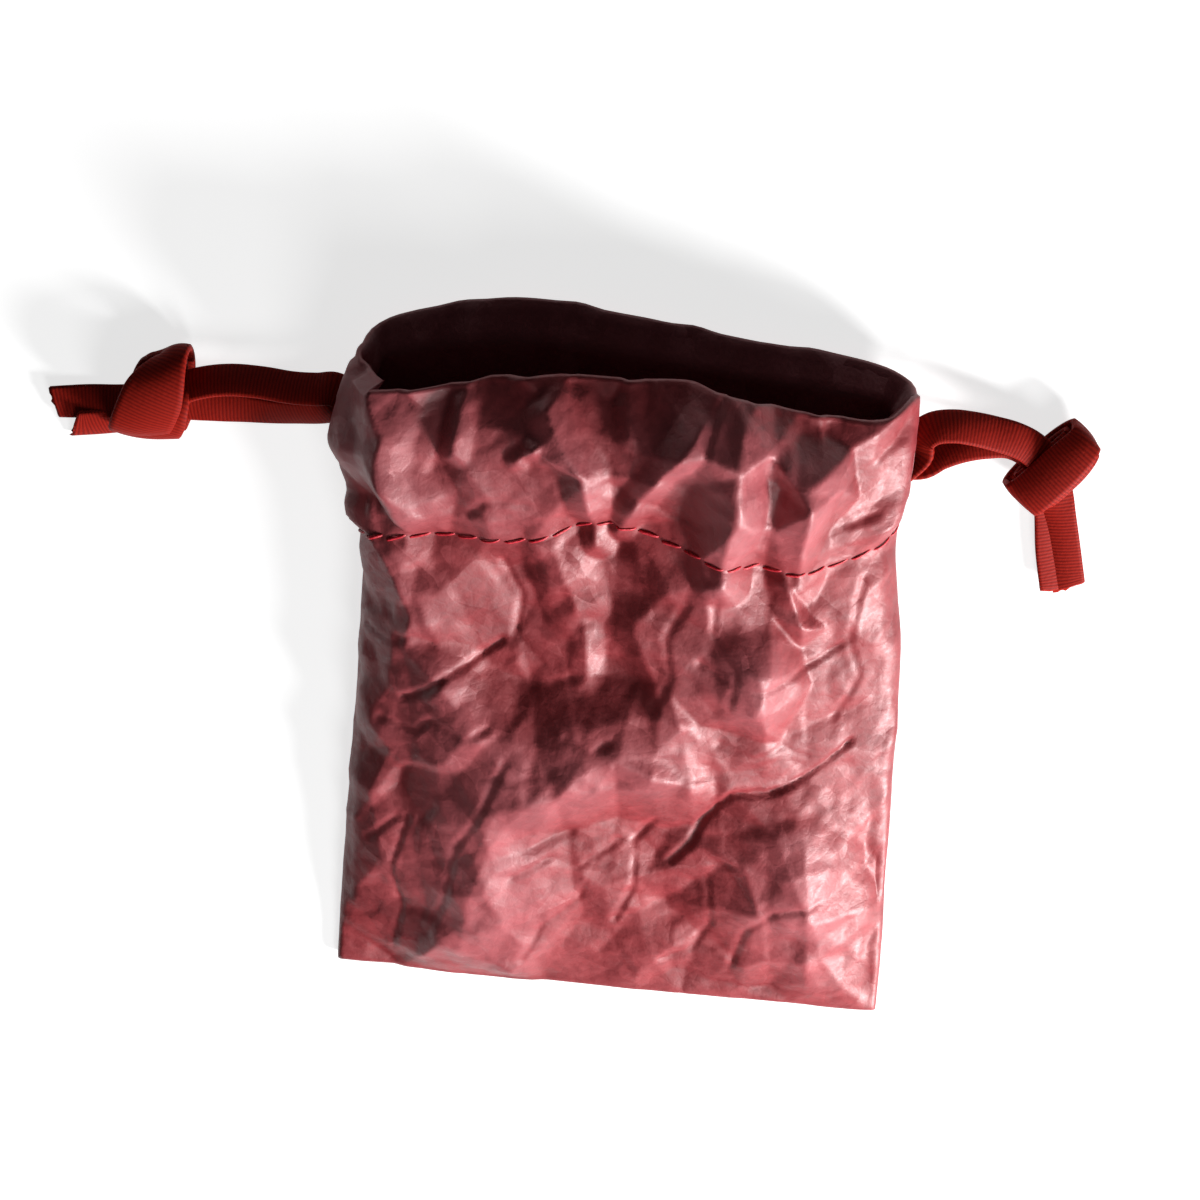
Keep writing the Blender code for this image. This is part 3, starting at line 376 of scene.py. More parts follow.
def distance_to_line(x, y, points):
    """Distance from each point of a grid to a broken line."""
    nearest = np.full(x.shape, 1e9)
    for (ax, ay), (bx, by) in zip(points, points[1:]):
        dx, dy = bx - ax, by - ay
        t = np.clip(((x - ax) * dx + (y - ay) * dy) / (dx * dx + dy * dy), 0, 1)
        nearest = np.minimum(nearest, np.hypot(x - ax - t * dx, y - ay - t * dy))
    return nearest


def on_panel(points):
    """Points given in hundredths across and up, on the flat panel."""
    return [tuple(float(v) for v in flat_place(up / 100, side / 100)) for side, up, *rest in points]


def main_folds(folds, height, across):
    """The listed ridges on a grid of the sheet."""
    x, y = flat_place(height, across)
    highest = np.zeros(x.shape)
    for rise, width, sharp, points in folds:
        away = distance_to_line(x, y, on_panel(points))
        highest = np.maximum(highest, rise * np.maximum(0, 1 - away / width) ** sharp)
    return highest


def thin_creases(height, across):
    """Depth of the thin creases: a sharp line, with the sheet standing a little proud on one side."""
    x, y = flat_place(height, across)
    total = np.zeros(x.shape)
    for depth, points in FINE_CREASES:
        line = on_panel(points)
        away = distance_to_line(x, y, line)
        lip = distance_to_line(x - LIP_OFFSET, y + LIP_OFFSET, line)
        total = np.maximum(total, depth * np.maximum(0, 1 - away / CREASE_WIDTH) ** CREASE_SHARPNESS)
        total -= LIP_SHARE * depth * np.maximum(0, 1 - lip / LIP_WIDTH)
    return total


def relief(height, across):
    """Flat facets between the crease points, on a grid of the sheet."""
    x, y = flat_place(height, across)
    result = delaunay_2d_cdt([Vector(corner) for corner in on_panel(CREASES)], [], [], 0, 1e-6)
    spots = np.array([tuple(spot) for spot in result[0]])
    heights = np.array([CREASES[origins[0]][2] for origins in result[3]])
    total = np.zeros(x.shape)
    for triangle in result[2]:
        (ax, ay), (bx, by), (cx, cy) = spots[list(triangle)]
        ha, hb, hc = heights[list(triangle)]
        area = (bx - ax) * (cy - ay) - (by - ay) * (cx - ax)
        if abs(area) < 1e-6:
            continue
        share_b = ((x - ax) * (cy - ay) - (y - ay) * (cx - ax)) / area
        share_c = ((bx - ax) * (y - ay) - (by - ay) * (x - ax)) / area
        inside = (share_b >= -1e-6) & (share_c >= -1e-6) & (share_b + share_c <= 1 + 1e-6)
        total[inside] = (ha + share_b * (hb - ha) + share_c * (hc - ha))[inside]
    return total


def facets(x, y, spacing, slope, seed):
    """Crumple: flat facets that meet in sharp creases, from two scattered sets of cell middles."""
    dice = np.random.default_rng(seed)
    margin = 2 * spacing
    count = int((POUCH_WIDTH + 2 * margin) * (CRUMPLE_LENGTH + 2 * margin) / spacing**2)
    total = np.zeros(x.shape)
    for sign in (1, -1):
        middles = np.stack((dice.uniform(-POUCH_WIDTH / 2 - margin, POUCH_WIDTH / 2 + margin, count),
                            dice.uniform(-margin, CRUMPLE_LENGTH + margin, count)), axis=1)
        nearest = np.full(x.shape, 1e9)
        for mx, my in middles:
            nearest = np.minimum(nearest, (x - mx) ** 2 + (y - my) ** 2)
        total += sign * nearest
    return total * slope / (2 * spacing)


def crumple(x, y, seed):
    """The sheet's small crumple, coarse and fine."""
    return sum(facets(x, y, spacing, slope, seed + number)
               for number, (spacing, slope) in enumerate(CRUMPLES, 1))


def sheet_heights():
    """Height shares of the rows, from the first one above the bottom fold to the rim."""
    first = FIRST_ROW / BODY_LENGTH
    body = np.linspace(first, 1, BODY_ROWS + 1)
    casing = np.linspace(1, 2, CASING_ROWS + 1)[1:]
    return np.concatenate((body, casing))


HEIGHTS = sheet_heights()
RIM_ROW = len(HEIGHTS) - 1
INNER_ROWS = range(0, RIM_ROW + 1, 2)


class Panel:
    """One panel of the sheet on its grid: core line, outward normals, and how far it stands out."""

    def __init__(self, front):
        self.front = front
        self.columns = FRONT_COLUMNS if front else BACK_COLUMNS
        lines = [panel_outline(height, front, self.columns) for height in HEIGHTS]
        self.x, self.z, self.nx, self.nz = (np.array([line[k] for line in lines]) for k in range(4))
        self.radius = np.array([line[4] for line in lines])[:, None]
        self.across = np.broadcast_to(np.linspace(-1, 1, self.columns + 1), self.x.shape)
        self.height = np.broadcast_to(HEIGHTS[:, None], self.x.shape)
        self.y = up_the_pouch(self.height, self.across, front)
        grid = self.height, self.across
        flat_x, flat_y = flat_place(*grid)
        near_side = np.minimum(1, (1 - np.abs(self.across)) / FOLD_FREE_SIDE)
        if front:
            folds = relief(*grid) + main_folds(FRONT_FOLDS, *grid) - thin_creases(*grid)
            folds = (folds + CASING_PUFF * np.clip((self.height - 1) * PUFF_RISE, 0, 1)) * near_side
        else:
            folds = main_folds(BACK_FOLDS, *grid) * near_side
        small = crumple(flat_x, flat_y, FRONT_SEED if front else BACK_SEED) * (1 if front else BACK_CRUMPLE)
        faded = np.minimum(1, near_side * SIDE_FADE + SIDE_CRUMPLE)
        stands = folds + small * faded * np.minimum(1, flat_y / BOTTOM_FADE)
        self.stands = np.where(self.height > 1, np.maximum(stands, -CASING_DIP), stands)

    def face(self, depth, follows=1.0):
        """Points of a face at a depth below the outer one, as rows x columns x 3."""
        out = self.radius - depth + follows * self.stands
        z = self.z + out * self.nz
        if not self.front:
            z = np.maximum(z, depth)
        return np.stack((self.x + out * self.nx, self.y, z), axis=-1)


front_panel, back_panel = Panel(True), Panel(False)


def all_round(front, back):
    """The front's columns and then the back's, from the left fold over the front, each fold once."""
    return np.concatenate((front, back[..., -2:0:-1, :]), axis=-2)


def ring_faces(depth, follows=1.0):
    """A face of the sheet all round the pouch: rows x AROUND x 3."""
    return all_round(front_panel.face(depth, follows), back_panel.face(depth, follows))


def row_depth(height):
    """Depth of the inner face, and of the channel in front of it, at a height share."""
    if height < 1 - HEM_TAIL / BODY_LENGTH:
        return SHEET, 0.0
    if height <= 1 or height >= 2:
        return 2 * SHEET, 0.0
    open_share = min(1.0, (height - 1) / CHANNEL_OPENS[0], (2 - height) / CHANNEL_OPENS[1])
    gap = CHANNEL * open_share
    return 2 * SHEET + gap, gap


def hem_share(height):
    """How much of the outer folds the hem follows: all at its ends and little along the channel."""
    if height <= 1:
        return 1.0
    away = min(1.0, (height - 1) / HEM_LEAVES[0], (2 - height) / HEM_LEAVES[1])
    return 1 - (1 - HEM_FOLLOWS) * away


def smooth_normals(points):
    """Outward normals of a grid of surface points."""
    along, up = np.gradient(points, axis=1), np.gradient(points, axis=0)
    normal = np.cross(along, up)
    size = np.linalg.norm(normal, axis=-1, keepdims=True)
    return normal / np.maximum(size, 1e-9)


def new_piece(name, mesh, material):
    piece = bpy.data.objects.new(name, mesh)
    mesh.materials.append(material)
    bpy.context.scene.collection.objects.link(piece)
    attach(piece, "root")
    return piece


def to_metres(points):
    return (np.asarray(points, float) + np.array(ORIGIN)) * MM


def new_mesh(name, points, faces, flat_ends=False):
    """A smooth mesh from points in the pouch's millimetres. The cut ends of a lace stay flat."""
    mesh = bpy.data.meshes.new(name)
    mesh.from_pydata([tuple(p) for p in to_metres(points)], [], faces)
    mesh.polygons.foreach_set("use_smooth", [len(face) == 4 or not flat_ends for face in faces])
    mesh.update()
    return mesh


def tube_faces(start, rings, sides, closed=False):
    """Faces of a tube through rings of points, closed on itself or with both ends capped."""
    faces = []
    for k in range(rings if closed else rings - 1):
        low, high = start + k * sides, start + (k + 1) % rings * sides
        for i in range(sides):
            n = (i + 1) % sides
            faces.append((low + i, low + n, high + n, high + i))
    if not closed:
        faces.append(tuple(start + i for i in range(sides - 1, -1, -1)))
        faces.append(tuple(start + (rings - 1) * sides + i for i in range(sides)))
    return faces


def resampled(points, columns):
    """A row of points taken again at even steps, for another number of columns."""
    old, new = np.linspace(0, 1, len(points)), np.linspace(0, 1, columns + 1)
    return np.stack([np.interp(new, old, points[:, k]) for k in range(3)], axis=1)


def side_tip(height, left):
    """Centre of a side fold's round at a height share, as x and z, and its radius."""
    edge_left, edge_right, front, radius, lift = section_at(height)
    return (edge_left + radius if left else edge_right - radius), lift + radius, radius


def lane_height(across, front, upper):
    """Height share of a lace's middle in the casing: the left lace runs in the upper lane."""
    stitch, rim = (float(up_the_pouch(np.array(float(h)), across, front)) for h in (1, 2))
    step = (LACE_WIDTH + LANE_GAP) / 2 * (1 if upper else -1)
    return 1 + LANE_SHARE + step / (rim - stitch)


def pouch_mesh():
    """The one sheet as a closed body: skin, rim, lining and the casing's channel, open at two slits."""
    outer, wall = ring_faces(0.0), ring_faces(SHEET)
    inner, hem = np.empty_like(outer), np.empty_like(outer)
    for j, height in enumerate(HEIGHTS):
        depth, gap = row_depth(height)
        inner[j] = ring_faces(depth, hem_share(height))[j]
        hem[j] = ring_faces(SHEET + gap, hem_share(height))[j]
    points, inside, raised = [], [], []
    stands = np.concatenate((front_panel.stands, back_panel.stands[:, -2:0:-1]), axis=1)

    def add(rows, is_inside, row=None):
        start = len(points)
        points.extend(rows)
        inside.extend([is_inside] * len(rows))
        raised.extend(stands[row] if row is not None else [0.0] * len(rows))
        return [start + k for k in range(len(rows))]

    def fold_ring(turn):
        front, back = front_panel.face(0.0)[0], back_panel.face(0.0)[0]
        middle = (resampled(back, FRONT_COLUMNS) + front) / 2
        centre = all_round(middle, resampled(middle, BACK_COLUMNS))
        ring = centre + (outer[0] - centre) * math.sin(turn)
        ring[:, 1] = FIRST_ROW - FIRST_ROW * math.cos(turn)
        return ring

    skin_rings = [add(fold_ring(math.radians(turn)), 0.0) for turn in (30, 60)]
    skin = [add(row, 0.0, j) for j, row in enumerate(outer)]
    crest_row = (outer[RIM_ROW] + inner[RIM_ROW]) / 2 + np.array((0, SHEET * RIM_ROUND, 0))
    crest = add(crest_row, 0.5)
    lining = {j: add(inner[j], 1.0) for j in INNER_ROWS}
    channel_rows = [j for j in INNER_ROWS if row_depth(HEIGHTS[j])[1] > 0]
    walls = {j: add(wall[j], 1.0) for j in channel_rows}
    hems = {j: add(hem[j], 1.0) for j in channel_rows}
    faces = []

    # Faces between two rings. They look the other way when the upper ring is given first
    def strip(low, high, skip=()):
        for k in range(AROUND):
            after = (k + 1) % AROUND
            if k not in skip:
                faces.append((low[k], low[after], high[after], high[k]))

    # The bottom fold closes on one line: each column of the front meets the back's nearest one
    def close_bottom(ring, outward):
        for k in range(FRONT_COLUMNS):
            here, there = (-int(round(n / FRONT_COLUMNS * BACK_COLUMNS)) % AROUND for n in (k, k + 1))
            corners = [ring[k], ring[k + 1], ring[there], ring[here]]
            corners = [c for i, c in enumerate(corners) if c not in corners[:i]]
            if len(corners) > 2:
                faces.append(corners if outward else corners[::-1])

    slit_columns, slit_rows = {}, {}
    near_rim = outer[RIM_ROW - SLIT_ROW]
    front_count, back_count = (
        max(least, int(round(SLIT_HEIGHT / 2 / np.linalg.norm(near_rim[column] - near_rim[0]))))
        for least, column in ((2, 1), (1, AROUND - 1)))
    for left in (True, False):
        middle, side = (0, -1) if left else (FRONT_COLUMNS, 1)
        reach = (-back_count, front_count) if left else (-front_count, back_count)
        slit_columns[left] = [(middle + k) % AROUND for k in range(*reach)]
        y = float(up_the_pouch(np.array(lane_height(side, True, left)), side, True))
        slit_rows[left] = tuple(
            min(channel_rows, key=lambda j: abs(outer[j, middle, 1] - end))
            for end in (y - SLIT_LENGTH / 2, y + SLIT_LENGTH / 2))

    def slit_cut(low_row, high_row):
        skip = set()
        for left in (True, False):
            if slit_rows[left][0] <= low_row and high_row <= slit_rows[left][1]:
                skip.update(slit_columns[left])
        return skip

    for low, high in zip(skin_rings, skin_rings[1:]):
        strip(low, high)
    strip(skin_rings[-1], skin[0])
    close_bottom(skin_rings[0], False)
    for j in range(RIM_ROW):
        strip(skin[j], skin[j + 1], slit_cut(j, j + 1))
    strip(skin[RIM_ROW], crest)
    strip(crest, lining[INNER_ROWS[-1]])
    for low, high in zip(INNER_ROWS, INNER_ROWS[1:]):
        strip(lining[high], lining[low])
    close_bottom(lining[0], True)
    for low, high in zip(channel_rows, channel_rows[1:]):
        strip(walls[high], walls[low], slit_cut(low, high))
        strip(hems[low], hems[high])
    strip(hems[channel_rows[0]], walls[channel_rows[0]])
    strip(walls[channel_rows[-1]], hems[channel_rows[-1]])
    for left in (True, False):
        low, high = slit_rows[left]
        cut = slit_columns[left]
        first, last = cut[0], (cut[-1] + 1) % AROUND
        for j in range(low, high, 2):
            faces.append((skin[j][first], skin[j + 1][first], skin[j + 2][first],
                          walls[j + 2][first], walls[j][first]))
            faces.append((walls[j][last], walls[j + 2][last],
                          skin[j + 2][last], skin[j + 1][last], skin[j][last]))
        for k in cut:
            after = (k + 1) % AROUND
            faces.append((skin[low][k], walls[low][k], walls[low][after], skin[low][after]))
            faces.append((skin[high][k], skin[high][after], walls[high][after], walls[high][k]))

    mesh = new_mesh("pouch_sheet", points, faces)
    for name, values in (("inside", inside), ("raised", raised)):
        attribute = mesh.attributes.new(name, 'FLOAT', 'POINT')
        attribute.data.foreach_set("value", np.array(values, np.float32))
    return mesh


def shader_material(name):
    material = bpy.data.materials.new(name)
    material.use_nodes = True
    tree = material.node_tree
    return material, tree, tree.nodes["Principled BSDF"]


def fill(tree, node, inputs):
    """Set a node's inputs, each from a value or by a link from another node's output."""
    for key, value in inputs.items():
        if isinstance(value, bpy.types.NodeSocket):
            tree.links.new(value, node.inputs[key])
        else:
            node.inputs[key].default_value = value


def add_node(tree, kind, inputs=None, **settings):
    """A new shader node with its settings and inputs."""
    node = tree.nodes.new("ShaderNode" + kind)
    for key, value in settings.items():
        setattr(node, key, value)
    fill(tree, node, inputs or {})
    return node


def noise(tree, place, scale, detail, roughness=0.5, output="Fac"):
    return add_node(tree, "TexNoise", {"Vector": place, "Scale": scale, "Detail": detail,
                                       "Roughness": roughness}).outputs[output]


def remapped(tree, value, low, high, new_low, new_high):
    return add_node(tree, "MapRange", {"Value": value, "From Min": low, "From Max": high,
                                       "To Min": new_low, "To Max": new_high}).outputs["Result"]


def two_colours(tree, value, low, dark, high, light):
    """A colour between two hex colours, for a value between low and high."""
    ramp = add_node(tree, "ValToRGB", {"Fac": value})
    stops = ramp.color_ramp.elements
    stops[0].position, stops[0].color = low, linear(dark)
    stops[1].position, stops[1].color = high, linear(light)
    return ramp.outputs["Color"]


def mixed_colours(tree, share, first, second):
    return add_node(tree, "Mix", {"Factor": share, "A": first, "B": second},
                    data_type='RGBA').outputs["Result"]


def bump(tree, height, strength, **normal):
    return add_node(tree, "Bump", {"Height": height, "Strength": strength, "Distance": BUMP_DISTANCE,
                                   **normal}).outputs["Normal"]


def vector_math(tree, operation, *vectors):
    return add_node(tree, "VectorMath", dict(enumerate(vectors)), operation=operation).outputs[0]


def washed_paper():
    """Washed kraft-like paper, dyed red: softly shiny, crumpled, lighter where the sheet stands highest
    (partly wear, partly painted sheen) and darker on its inner faces (painted shade).
    """
    material, tree, shader = shader_material("washed_paper")
    place = add_node(tree, "TexCoord").outputs["Object"]
    mottle = noise(tree, place, 140.0, 5.0, 0.62)
    fibres = noise(tree, place, 900.0, 4.0, 0.6)
    blend = add_node(tree, "Mix", {"Factor": 0.35, 2: mottle, 3: fibres}, data_type='FLOAT').outputs[0]
    dyed = two_colours(tree, blend, 0.32, "#742126", 0.68, "#9E383D")
    cracks = add_node(tree, "TexVoronoi", {"Vector": place, "Scale": 420.0},
                      feature='DISTANCE_TO_EDGE').outputs["Distance"]
    crack_edge = remapped(tree, cracks, 0.0, 0.12, 0.0, 1.0)
    raised = add_node(tree, "Attribute", attribute_name="raised").outputs["Fac"]
    # Lighter pink where the sheet stands highest: partly wear, partly painted sheen
    wear_and_sheen = remapped(tree, raised, 0.6, 5.0, 0.0, 0.22)
    pale_wear_and_sheen = mixed_colours(tree, wear_and_sheen, dyed, linear("#D08088"))
    # The inner faces and the rim's crest get a darker colour: painted shade
    inside = add_node(tree, "Attribute", attribute_name="inside").outputs["Fac"]
    colour = mixed_colours(tree, inside, pale_wear_and_sheen, linear("#6A2229"))
    normal = bump(tree, crack_edge, 0.10, Normal=bump(tree, fibres, 0.6))
    for scale, tilt in ((150.0, 0.07), (380.0, 0.045)):
        normal = tilted_facets(tree, place, normal, scale, tilt)
    fill(tree, shader, {"Base Color": colour, "Normal": normal,
                        "Roughness": remapped(tree, fibres, 0.3, 0.7, 0.44, 0.58),
                        "Specular IOR Level": 0.78, "Specular Tint": linear("#FBE2E2")})
    return material


def tilted_facets(tree, place, normal, scale, tilt):
    """Flat facets too fine for the mesh: each cell of the sheet leans its own way."""
    warp = noise(tree, place, scale * 0.8, 2.0, output="Color")
    moved = vector_math(tree, 'ADD', place, vector_math(tree, 'MULTIPLY', warp, (0.6 / scale,) * 3))
    cell = add_node(tree, "TexVoronoi", {"Vector": moved, "Scale": scale}).outputs["Color"]
    lean = vector_math(tree, 'SUBTRACT', cell, (0.5, 0.5, 0.5))
    lean = vector_math(tree, 'MULTIPLY', lean, (2 * tilt,) * 3)
    return vector_math(tree, 'NORMALIZE', vector_math(tree, 'ADD', normal, lean))


def lace_material():
    """Flat woven lace: fine ribs straight across it, matt, with painted shade that darkens the ribs'
    hollows.
    """
    material, tree, shader = shader_material("red_lace")
    uv = add_node(tree, "UVMap", uv_map="lace_mm").outputs["UV"]
    # At scale 1 this texture's bands are 2 pi / 20 wide
    ribs = add_node(tree, "TexWave", {"Vector": uv, "Scale": 2 * math.pi / 20 / RIB_PITCH,
                                      "Distortion": 0.6, "Detail": 1.0, "Detail Scale": 0.8},
                    wave_type='BANDS', bands_direction='Y').outputs["Fac"]
    place = add_node(tree, "TexCoord").outputs["Object"]
    fuzz = noise(tree, place, 1500.0, 3.0)
    # The ribs' hollows get the darker colour: painted shade
    fill(tree, shader, {"Base Color": two_colours(tree, ribs, 0.0, "#7C1510", 0.8, "#9E2014"),
                        "Normal": bump(tree, ribs, 0.18, Normal=bump(tree, fuzz, 0.5)),
                        "Roughness": 0.6, "Specular IOR Level": 0.1})
    return material


def thread_material():
    """Twisted dark red sewing thread, satin."""
    material, tree, shader = shader_material("dark_red_thread")
    place = add_node(tree, "TexCoord").outputs["Object"]
    twist = noise(tree, place, 2500.0, 2.0)
    fill(tree, shader, {"Base Color": two_colours(tree, twist, 0.35, "#B01424", 0.65, "#D83040"),
                        "Normal": bump(tree, twist, 0.5), "Roughness": 0.5})
    return material


def smooth_route(points, count):
    """Evenly spaced points on a smooth curve through a route's own points."""
    points = np.asarray(points, float)
    places = distances(points)
    dense = np.linspace(0, places[-1], ROUTE_STEPS)
    line = np.stack([curve_through(list(zip(places, points[:, k])), dense) for k in range(3)], axis=1)
    length = distances(line)
    even = np.linspace(0, length[-1], count)
    return np.stack([np.interp(even, length, line[:, k]) for k in range(3)], axis=1)


def unit(vector):
    return vector / max(float(np.linalg.norm(vector)), 1e-9)


def lace_profile(width, thickness, curl):
    """A flat lace's cross-section, arched by an angle: (across, up, distance over it) counted round."""
    half, thick = width / 2, thickness / 2
    spread = np.linspace(-1, 1, 13)
    rows = [(half * s * 0.95, thick * (1 - 0.12 * s * s)) for s in spread]
    rows += [(half, thick * 0.4), (half, -thick * 0.4)]
    rows += [(a, -b) for a, b in rows[12::-1]]
    rows += [(-half, -thick * 0.4), (-half, thick * 0.4)]
    bend = math.radians(max(curl, 0.01))
    radius = width / bend
    return [((radius + b) * math.sin(a / radius), (radius + b) * math.cos(a / radius) - radius, a)
            for a, b in rows]


def sweep(name, line, wide_start, rolls, material, closed=False, width=LACE_WIDTH, thickness=LACE_THICKNESS,
          curl=0.0, wides=None, spreads=None, slant=0.0, seed=1):
    """A flat lace along a line: its width is carried along it, or given by wides, and rolled by angles.

    The rolls are (share of the length, degrees) pairs, and a slant cuts its end at an angle. No ring
    goes below the floor, and the line is lifted with its rings.
    """
    count = len(line)
    shares = np.linspace(0, 1, count)
    turn = np.radians(curve_through(rolls, shares)) if rolls else np.zeros(count)
    heading = np.gradient(line, axis=0)
    if closed:
        heading = (np.roll(line, -1, axis=0) - np.roll(line, 1, axis=0)) / 2
    wide = np.array(wide_start, float)
    points, uv = [], []
    along = distances(line)
    profile = lace_profile(width, thickness, curl)
    fray = np.random.default_rng(seed).normal(0, FRAY, len(profile))
    for k in range(count):
        forward = unit(heading[k])
        if wides is not None:
            wide = wides[k]
        wide = unit(wide - forward * wide.dot(forward))
        thick = np.cross(wide, forward)
        across = wide * math.cos(turn[k]) + thick * math.sin(turn[k])
        up = thick * math.cos(turn[k]) - wide * math.sin(turn[k])
        at_end = 0.0 if closed else max(0.0, 1 - (along[-1] - along[k]) / END_REACH)
        spread = 1 if spreads is None else spreads[k]
        ring = np.array([line[k] + across * a * spread + up * b
                         + forward * at_end * (slant * over + fray[i] * (at_end > 0.95))
                         for i, (a, b, over) in enumerate(profile)])
        lift = max(0.0, FLOOR_GAP - ring[:, 2].min())
        ring[:, 2] += lift
        line[k, 2] += lift
        points.extend(ring)
        uv.extend((over, along[k]) for a, b, over in profile)
    mesh = new_mesh(name, points, tube_faces(0, count, len(profile), closed), flat_ends=True)
    layer = mesh.uv_layers.new(name="lace_mm")
    corners = np.empty(len(mesh.loops), dtype=np.int32)
    mesh.loops.foreach_get("vertex_index", corners)
    layer.data.foreach_set("uv", np.array(uv, np.float32)[corners].ravel())
    return new_piece(name, mesh, material)


def lane_line(upper):
    """Middle of a lace in the casing, all the way round from its slit to its slit."""
    depth = SHEET + CHANNEL - HEM_GAP - LACE_THICKNESS / 2
    lines = []
    for panel in (front_panel, back_panel):
        points = panel.face(depth, HEM_FOLLOWS)
        heights = np.array([lane_height(across, panel.front, upper) for across in panel.across[0]])
        rows = (heights - 1) * CASING_ROWS + BODY_ROWS
        low, column = rows.astype(int), np.arange(len(rows))
        t = (rows - low)[:, None]
        lines.append(points[low, column] * (1 - t) + points[low + 1, column] * t)
    ring = all_round(*lines)
    return ring if upper else np.roll(ring, -FRONT_COLUMNS, axis=0)


def placed_point(left, out, up, above):
    """A point given from a side's slit: out from its fold, up the pouch, and above the floor."""
    side = -1 if left else 1
    height = lane_height(side, True, left)
    x, z, radius = side_tip(height, left)
    y = float(up_the_pouch(np.array(height), side, True))
    return np.array((x + side * (radius + out), y + up, above))


def make_lace(side_name, left, ends, wraps, wrap_way, material):
    """A whole lace: its run in the casing, its two free ends and the knot that ties them together."""
    ring = lane_line(left)
    run = smooth_route(ring[HIDDEN_STEPS:-HIDDEN_STEPS:3], CASING_RINGS)
    fixed = np.tile((0.0, 1.0, 0.0), (len(run), 1))
    pieces = [sweep("lace_in_casing_" + side_name, run, (0, 1, 0), None, material, wides=fixed)]
    knots = [knot_wrap("knot_%s_%d" % (side_name, number), left, wrap, wrap_way, material)
             for number, wrap in enumerate(wraps)]
    height = lane_height(-1 if left else 1, True, left)
    exit_point = placed_point(left, 0, 0, side_tip(height, left)[1])
    for number, (route, rolls, slant) in enumerate(ends):
        first = ring[HIDDEN_STEPS if (number == 0) == left else -HIDDEN_STEPS]
        line = smooth_route([tuple(first)] + [placed_point(left, *spot) for spot in route], END_RINGS)
        piece = sweep("lace_%s_%s" % (side_name, ("upper", "lower")[number]), line,
                      (0, 1 if left else -1, 0), rolls, material, curl=LACE_CURL, slant=slant,
                      seed=LACE_SEED + number)
        pieces.append(piece)
    return pieces + knots


def knot_wrap(name, left, wrap, way, material):
    """One wrap of a knot: a wide band of lace round the strands, drawn tight and slightly arched."""
    centre, half_long, half_high, fullness, width, upper, lower, tip, taper = wrap
    centre = placed_point(left, *centre)
    long_way = np.array((math.cos(math.radians(way)), math.sin(math.radians(way)), 0.0))
    up = np.array((0.0, 0.0, 1.0))
    line, wides, spreads = [], [], []
    tip = math.radians(tip)
    for t in np.linspace(0, 2 * np.pi, WRAP_RINGS, endpoint=False):
        c, s = math.cos(t), math.sin(t)
        reach = np.sign(c) * abs(c) ** (0.5 + 0.45 * fullness)
        rise = np.sign(s) * abs(s) ** fullness
        line.append(centre + long_way * half_long * reach + up * half_high * rise)
        angle = math.radians(lower + (upper - lower) * (c + 1) / 2)
        flat = math.cos(tip)
        wides.append(-np.array((math.cos(angle) * flat, math.sin(angle) * flat, math.sin(tip))))
        spreads.append(1 - (1 - taper) * max(0.0, c) ** 1.5)
    line = np.array(line)
    line[:, 2] = np.maximum(line[:, 2], LACE_THICKNESS * 0.6)
    return sweep(name, line, (1, 0, 0), None, material, closed=True, width=width,
                 thickness=KNOT_THICKNESS, curl=KNOT_CURL, wides=np.array(wides), spreads=spreads)


def make_stitches(material):
    """The hem's stitches all round the pouch, each a short thread sunk into the sheet at both ends."""
    outer = ring_faces(0.0)
    row = BODY_ROWS
    normals = smooth_normals(np.concatenate((outer, outer[:, :1]), axis=1))[row, :-1]
    loop, normal_loop, up_loop = (np.vstack((values, values[:1]))
                                  for values in (outer[row], normals, np.gradient(outer, axis=0)[row]))
    length = distances(loop)
    count = int(length[-1] / STITCH_PITCH)
    pitch = length[-1] / count

    def at(values, where):
        return np.array([np.interp(where % length[-1], length, values[:, k]) for k in range(3)])

    dice = np.random.default_rng(STITCH_SEED)
    points, faces = [], []
    shares = [-1 + 2 * k / (STITCH_RINGS - 1) for k in range(STITCH_RINGS)]
    for stitch in range(count):
        middle = (stitch + 0.5) * pitch
        tilt = math.radians(STITCH_TILT + dice.normal(0, 3))
        half = STITCH_LENGTH / 2 * (1 + dice.normal(0, 0.04))
        shift = dice.normal(0, 0.08)
        spots, outs = [], []
        for s in shares:
            where = middle + s * half * math.cos(tilt)
            normal, up = unit(at(normal_loop, where)), unit(at(up_loop, where))
            lift = STITCH_RADIUS * (STITCH_RISE * (1 - abs(s) ** 4) - STITCH_SINK * abs(s) ** 4)
            spots.append(at(loop, where) + up * (s * half * math.sin(tilt) + shift) + normal * lift)
            outs.append(normal)
        faces.extend(tube_faces(len(points), STITCH_RINGS, STITCH_SIDES))
        for s, spot, out, heading in zip(shares, spots, outs, np.gradient(np.array(spots), axis=0)):
            forward = unit(heading)
            side = unit(np.cross(forward, out))
            top = np.cross(side, forward)
            girth = STITCH_RADIUS * (1 - 0.35 * abs(s) ** 5)
            for i in range(STITCH_SIDES):
                angle = 2 * math.pi * i / STITCH_SIDES
                points.append(spot + side * girth * math.cos(angle)
                              + top * girth * STITCH_FLATNESS * math.sin(angle))
    return new_piece("hem_stitches", new_mesh("hem_stitches", points, faces), material)


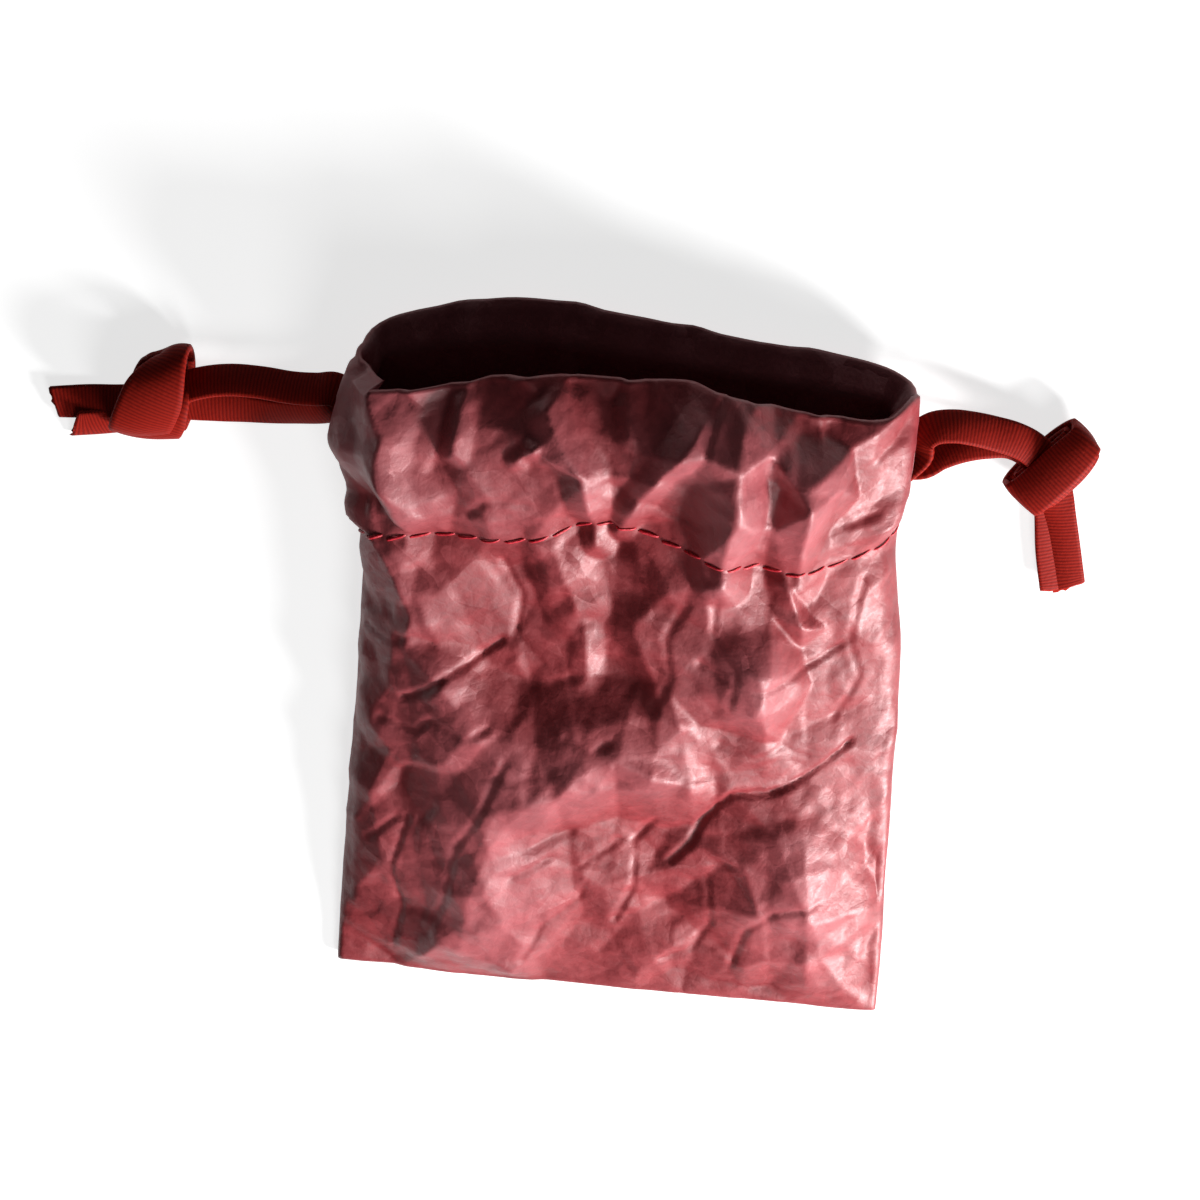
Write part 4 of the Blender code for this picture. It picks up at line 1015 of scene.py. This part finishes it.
def floor_material():
    """Matt white card: near white to the camera, and still darker in the object's shadow."""
    material, tree, shader = shader_material("white_card")
    ray = add_node(tree, "LightPath").outputs
    seen = add_node(tree, "Math", {0: ray["Is Camera Ray"], 1: ray["Is Glossy Ray"]},
                    operation='MAXIMUM').outputs[0]
    glow = add_node(tree, "Math", {0: seen, 1: FLOOR_GLOW}, operation='MULTIPLY').outputs[0]
    fill(tree, shader, {"Base Color": linear("#CCCCCC"), "Roughness": 0.9, "Specular IOR Level": 0.2,
                        "Emission Color": (1, 1, 1, 1), "Emission Strength": glow})
    return material


def make_floor():
    bpy.ops.mesh.primitive_plane_add(size=FLOOR_SIZE, location=(0, 0, -FLOOR_DROP))
    floor = bpy.context.object
    floor.name = "floor"
    floor.data.materials.append(floor_material())


def add_light(name, place, size, power):
    """A round soft light that looks at the pouch."""
    data = bpy.data.lights.new(name, 'AREA')
    data.shape, data.size, data.energy = 'DISK', size, power
    light = bpy.data.objects.new(name, data)
    light.location = place
    light.rotation_euler = (LIGHT_TARGET - Vector(place)).to_track_quat('-Z', 'Y').to_euler()
    bpy.context.scene.collection.objects.link(light)


def set_world():
    world = bpy.data.worlds.new("studio")
    world.use_nodes = True
    bpy.context.scene.world = world
    tree = world.node_tree
    seen = add_node(tree, "LightPath").outputs["Is Camera Ray"]
    fill(tree, tree.nodes["Background"], {"Color": (1, 1, 1, 1),
                                          "Strength": remapped(tree, seen, 0.0, 1.0, WORLD_LIGHT, 1.0)})


place_camera()
paper, lace, thread = washed_paper(), lace_material(), thread_material()

for piece in make_lace("left", True, (LEFT_UPPER, LEFT_LOWER), LEFT_WRAPS, LEFT_WRAP_WAY, lace):
    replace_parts(piece, "drawstring_left")
for piece in make_lace("right", False, (RIGHT_UPPER, RIGHT_LOWER), RIGHT_WRAPS, RIGHT_WRAP_WAY, lace):
    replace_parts(piece, "drawstring_right")

pouch = new_piece("pouch_sheet", pouch_mesh(), paper)
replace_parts(pouch, "pouch_body")
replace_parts(make_stitches(thread), "hem_stitching")
for node in ("side_seam_thread_left", "side_seam_thread_right"):
    for slot in bpy.data.objects[node].material_slots:
        slot.material = thread

make_floor()
for light in LIGHTS:
    add_light(*light)
set_world()
bpy.context.scene.view_settings.view_transform = 'Standard'
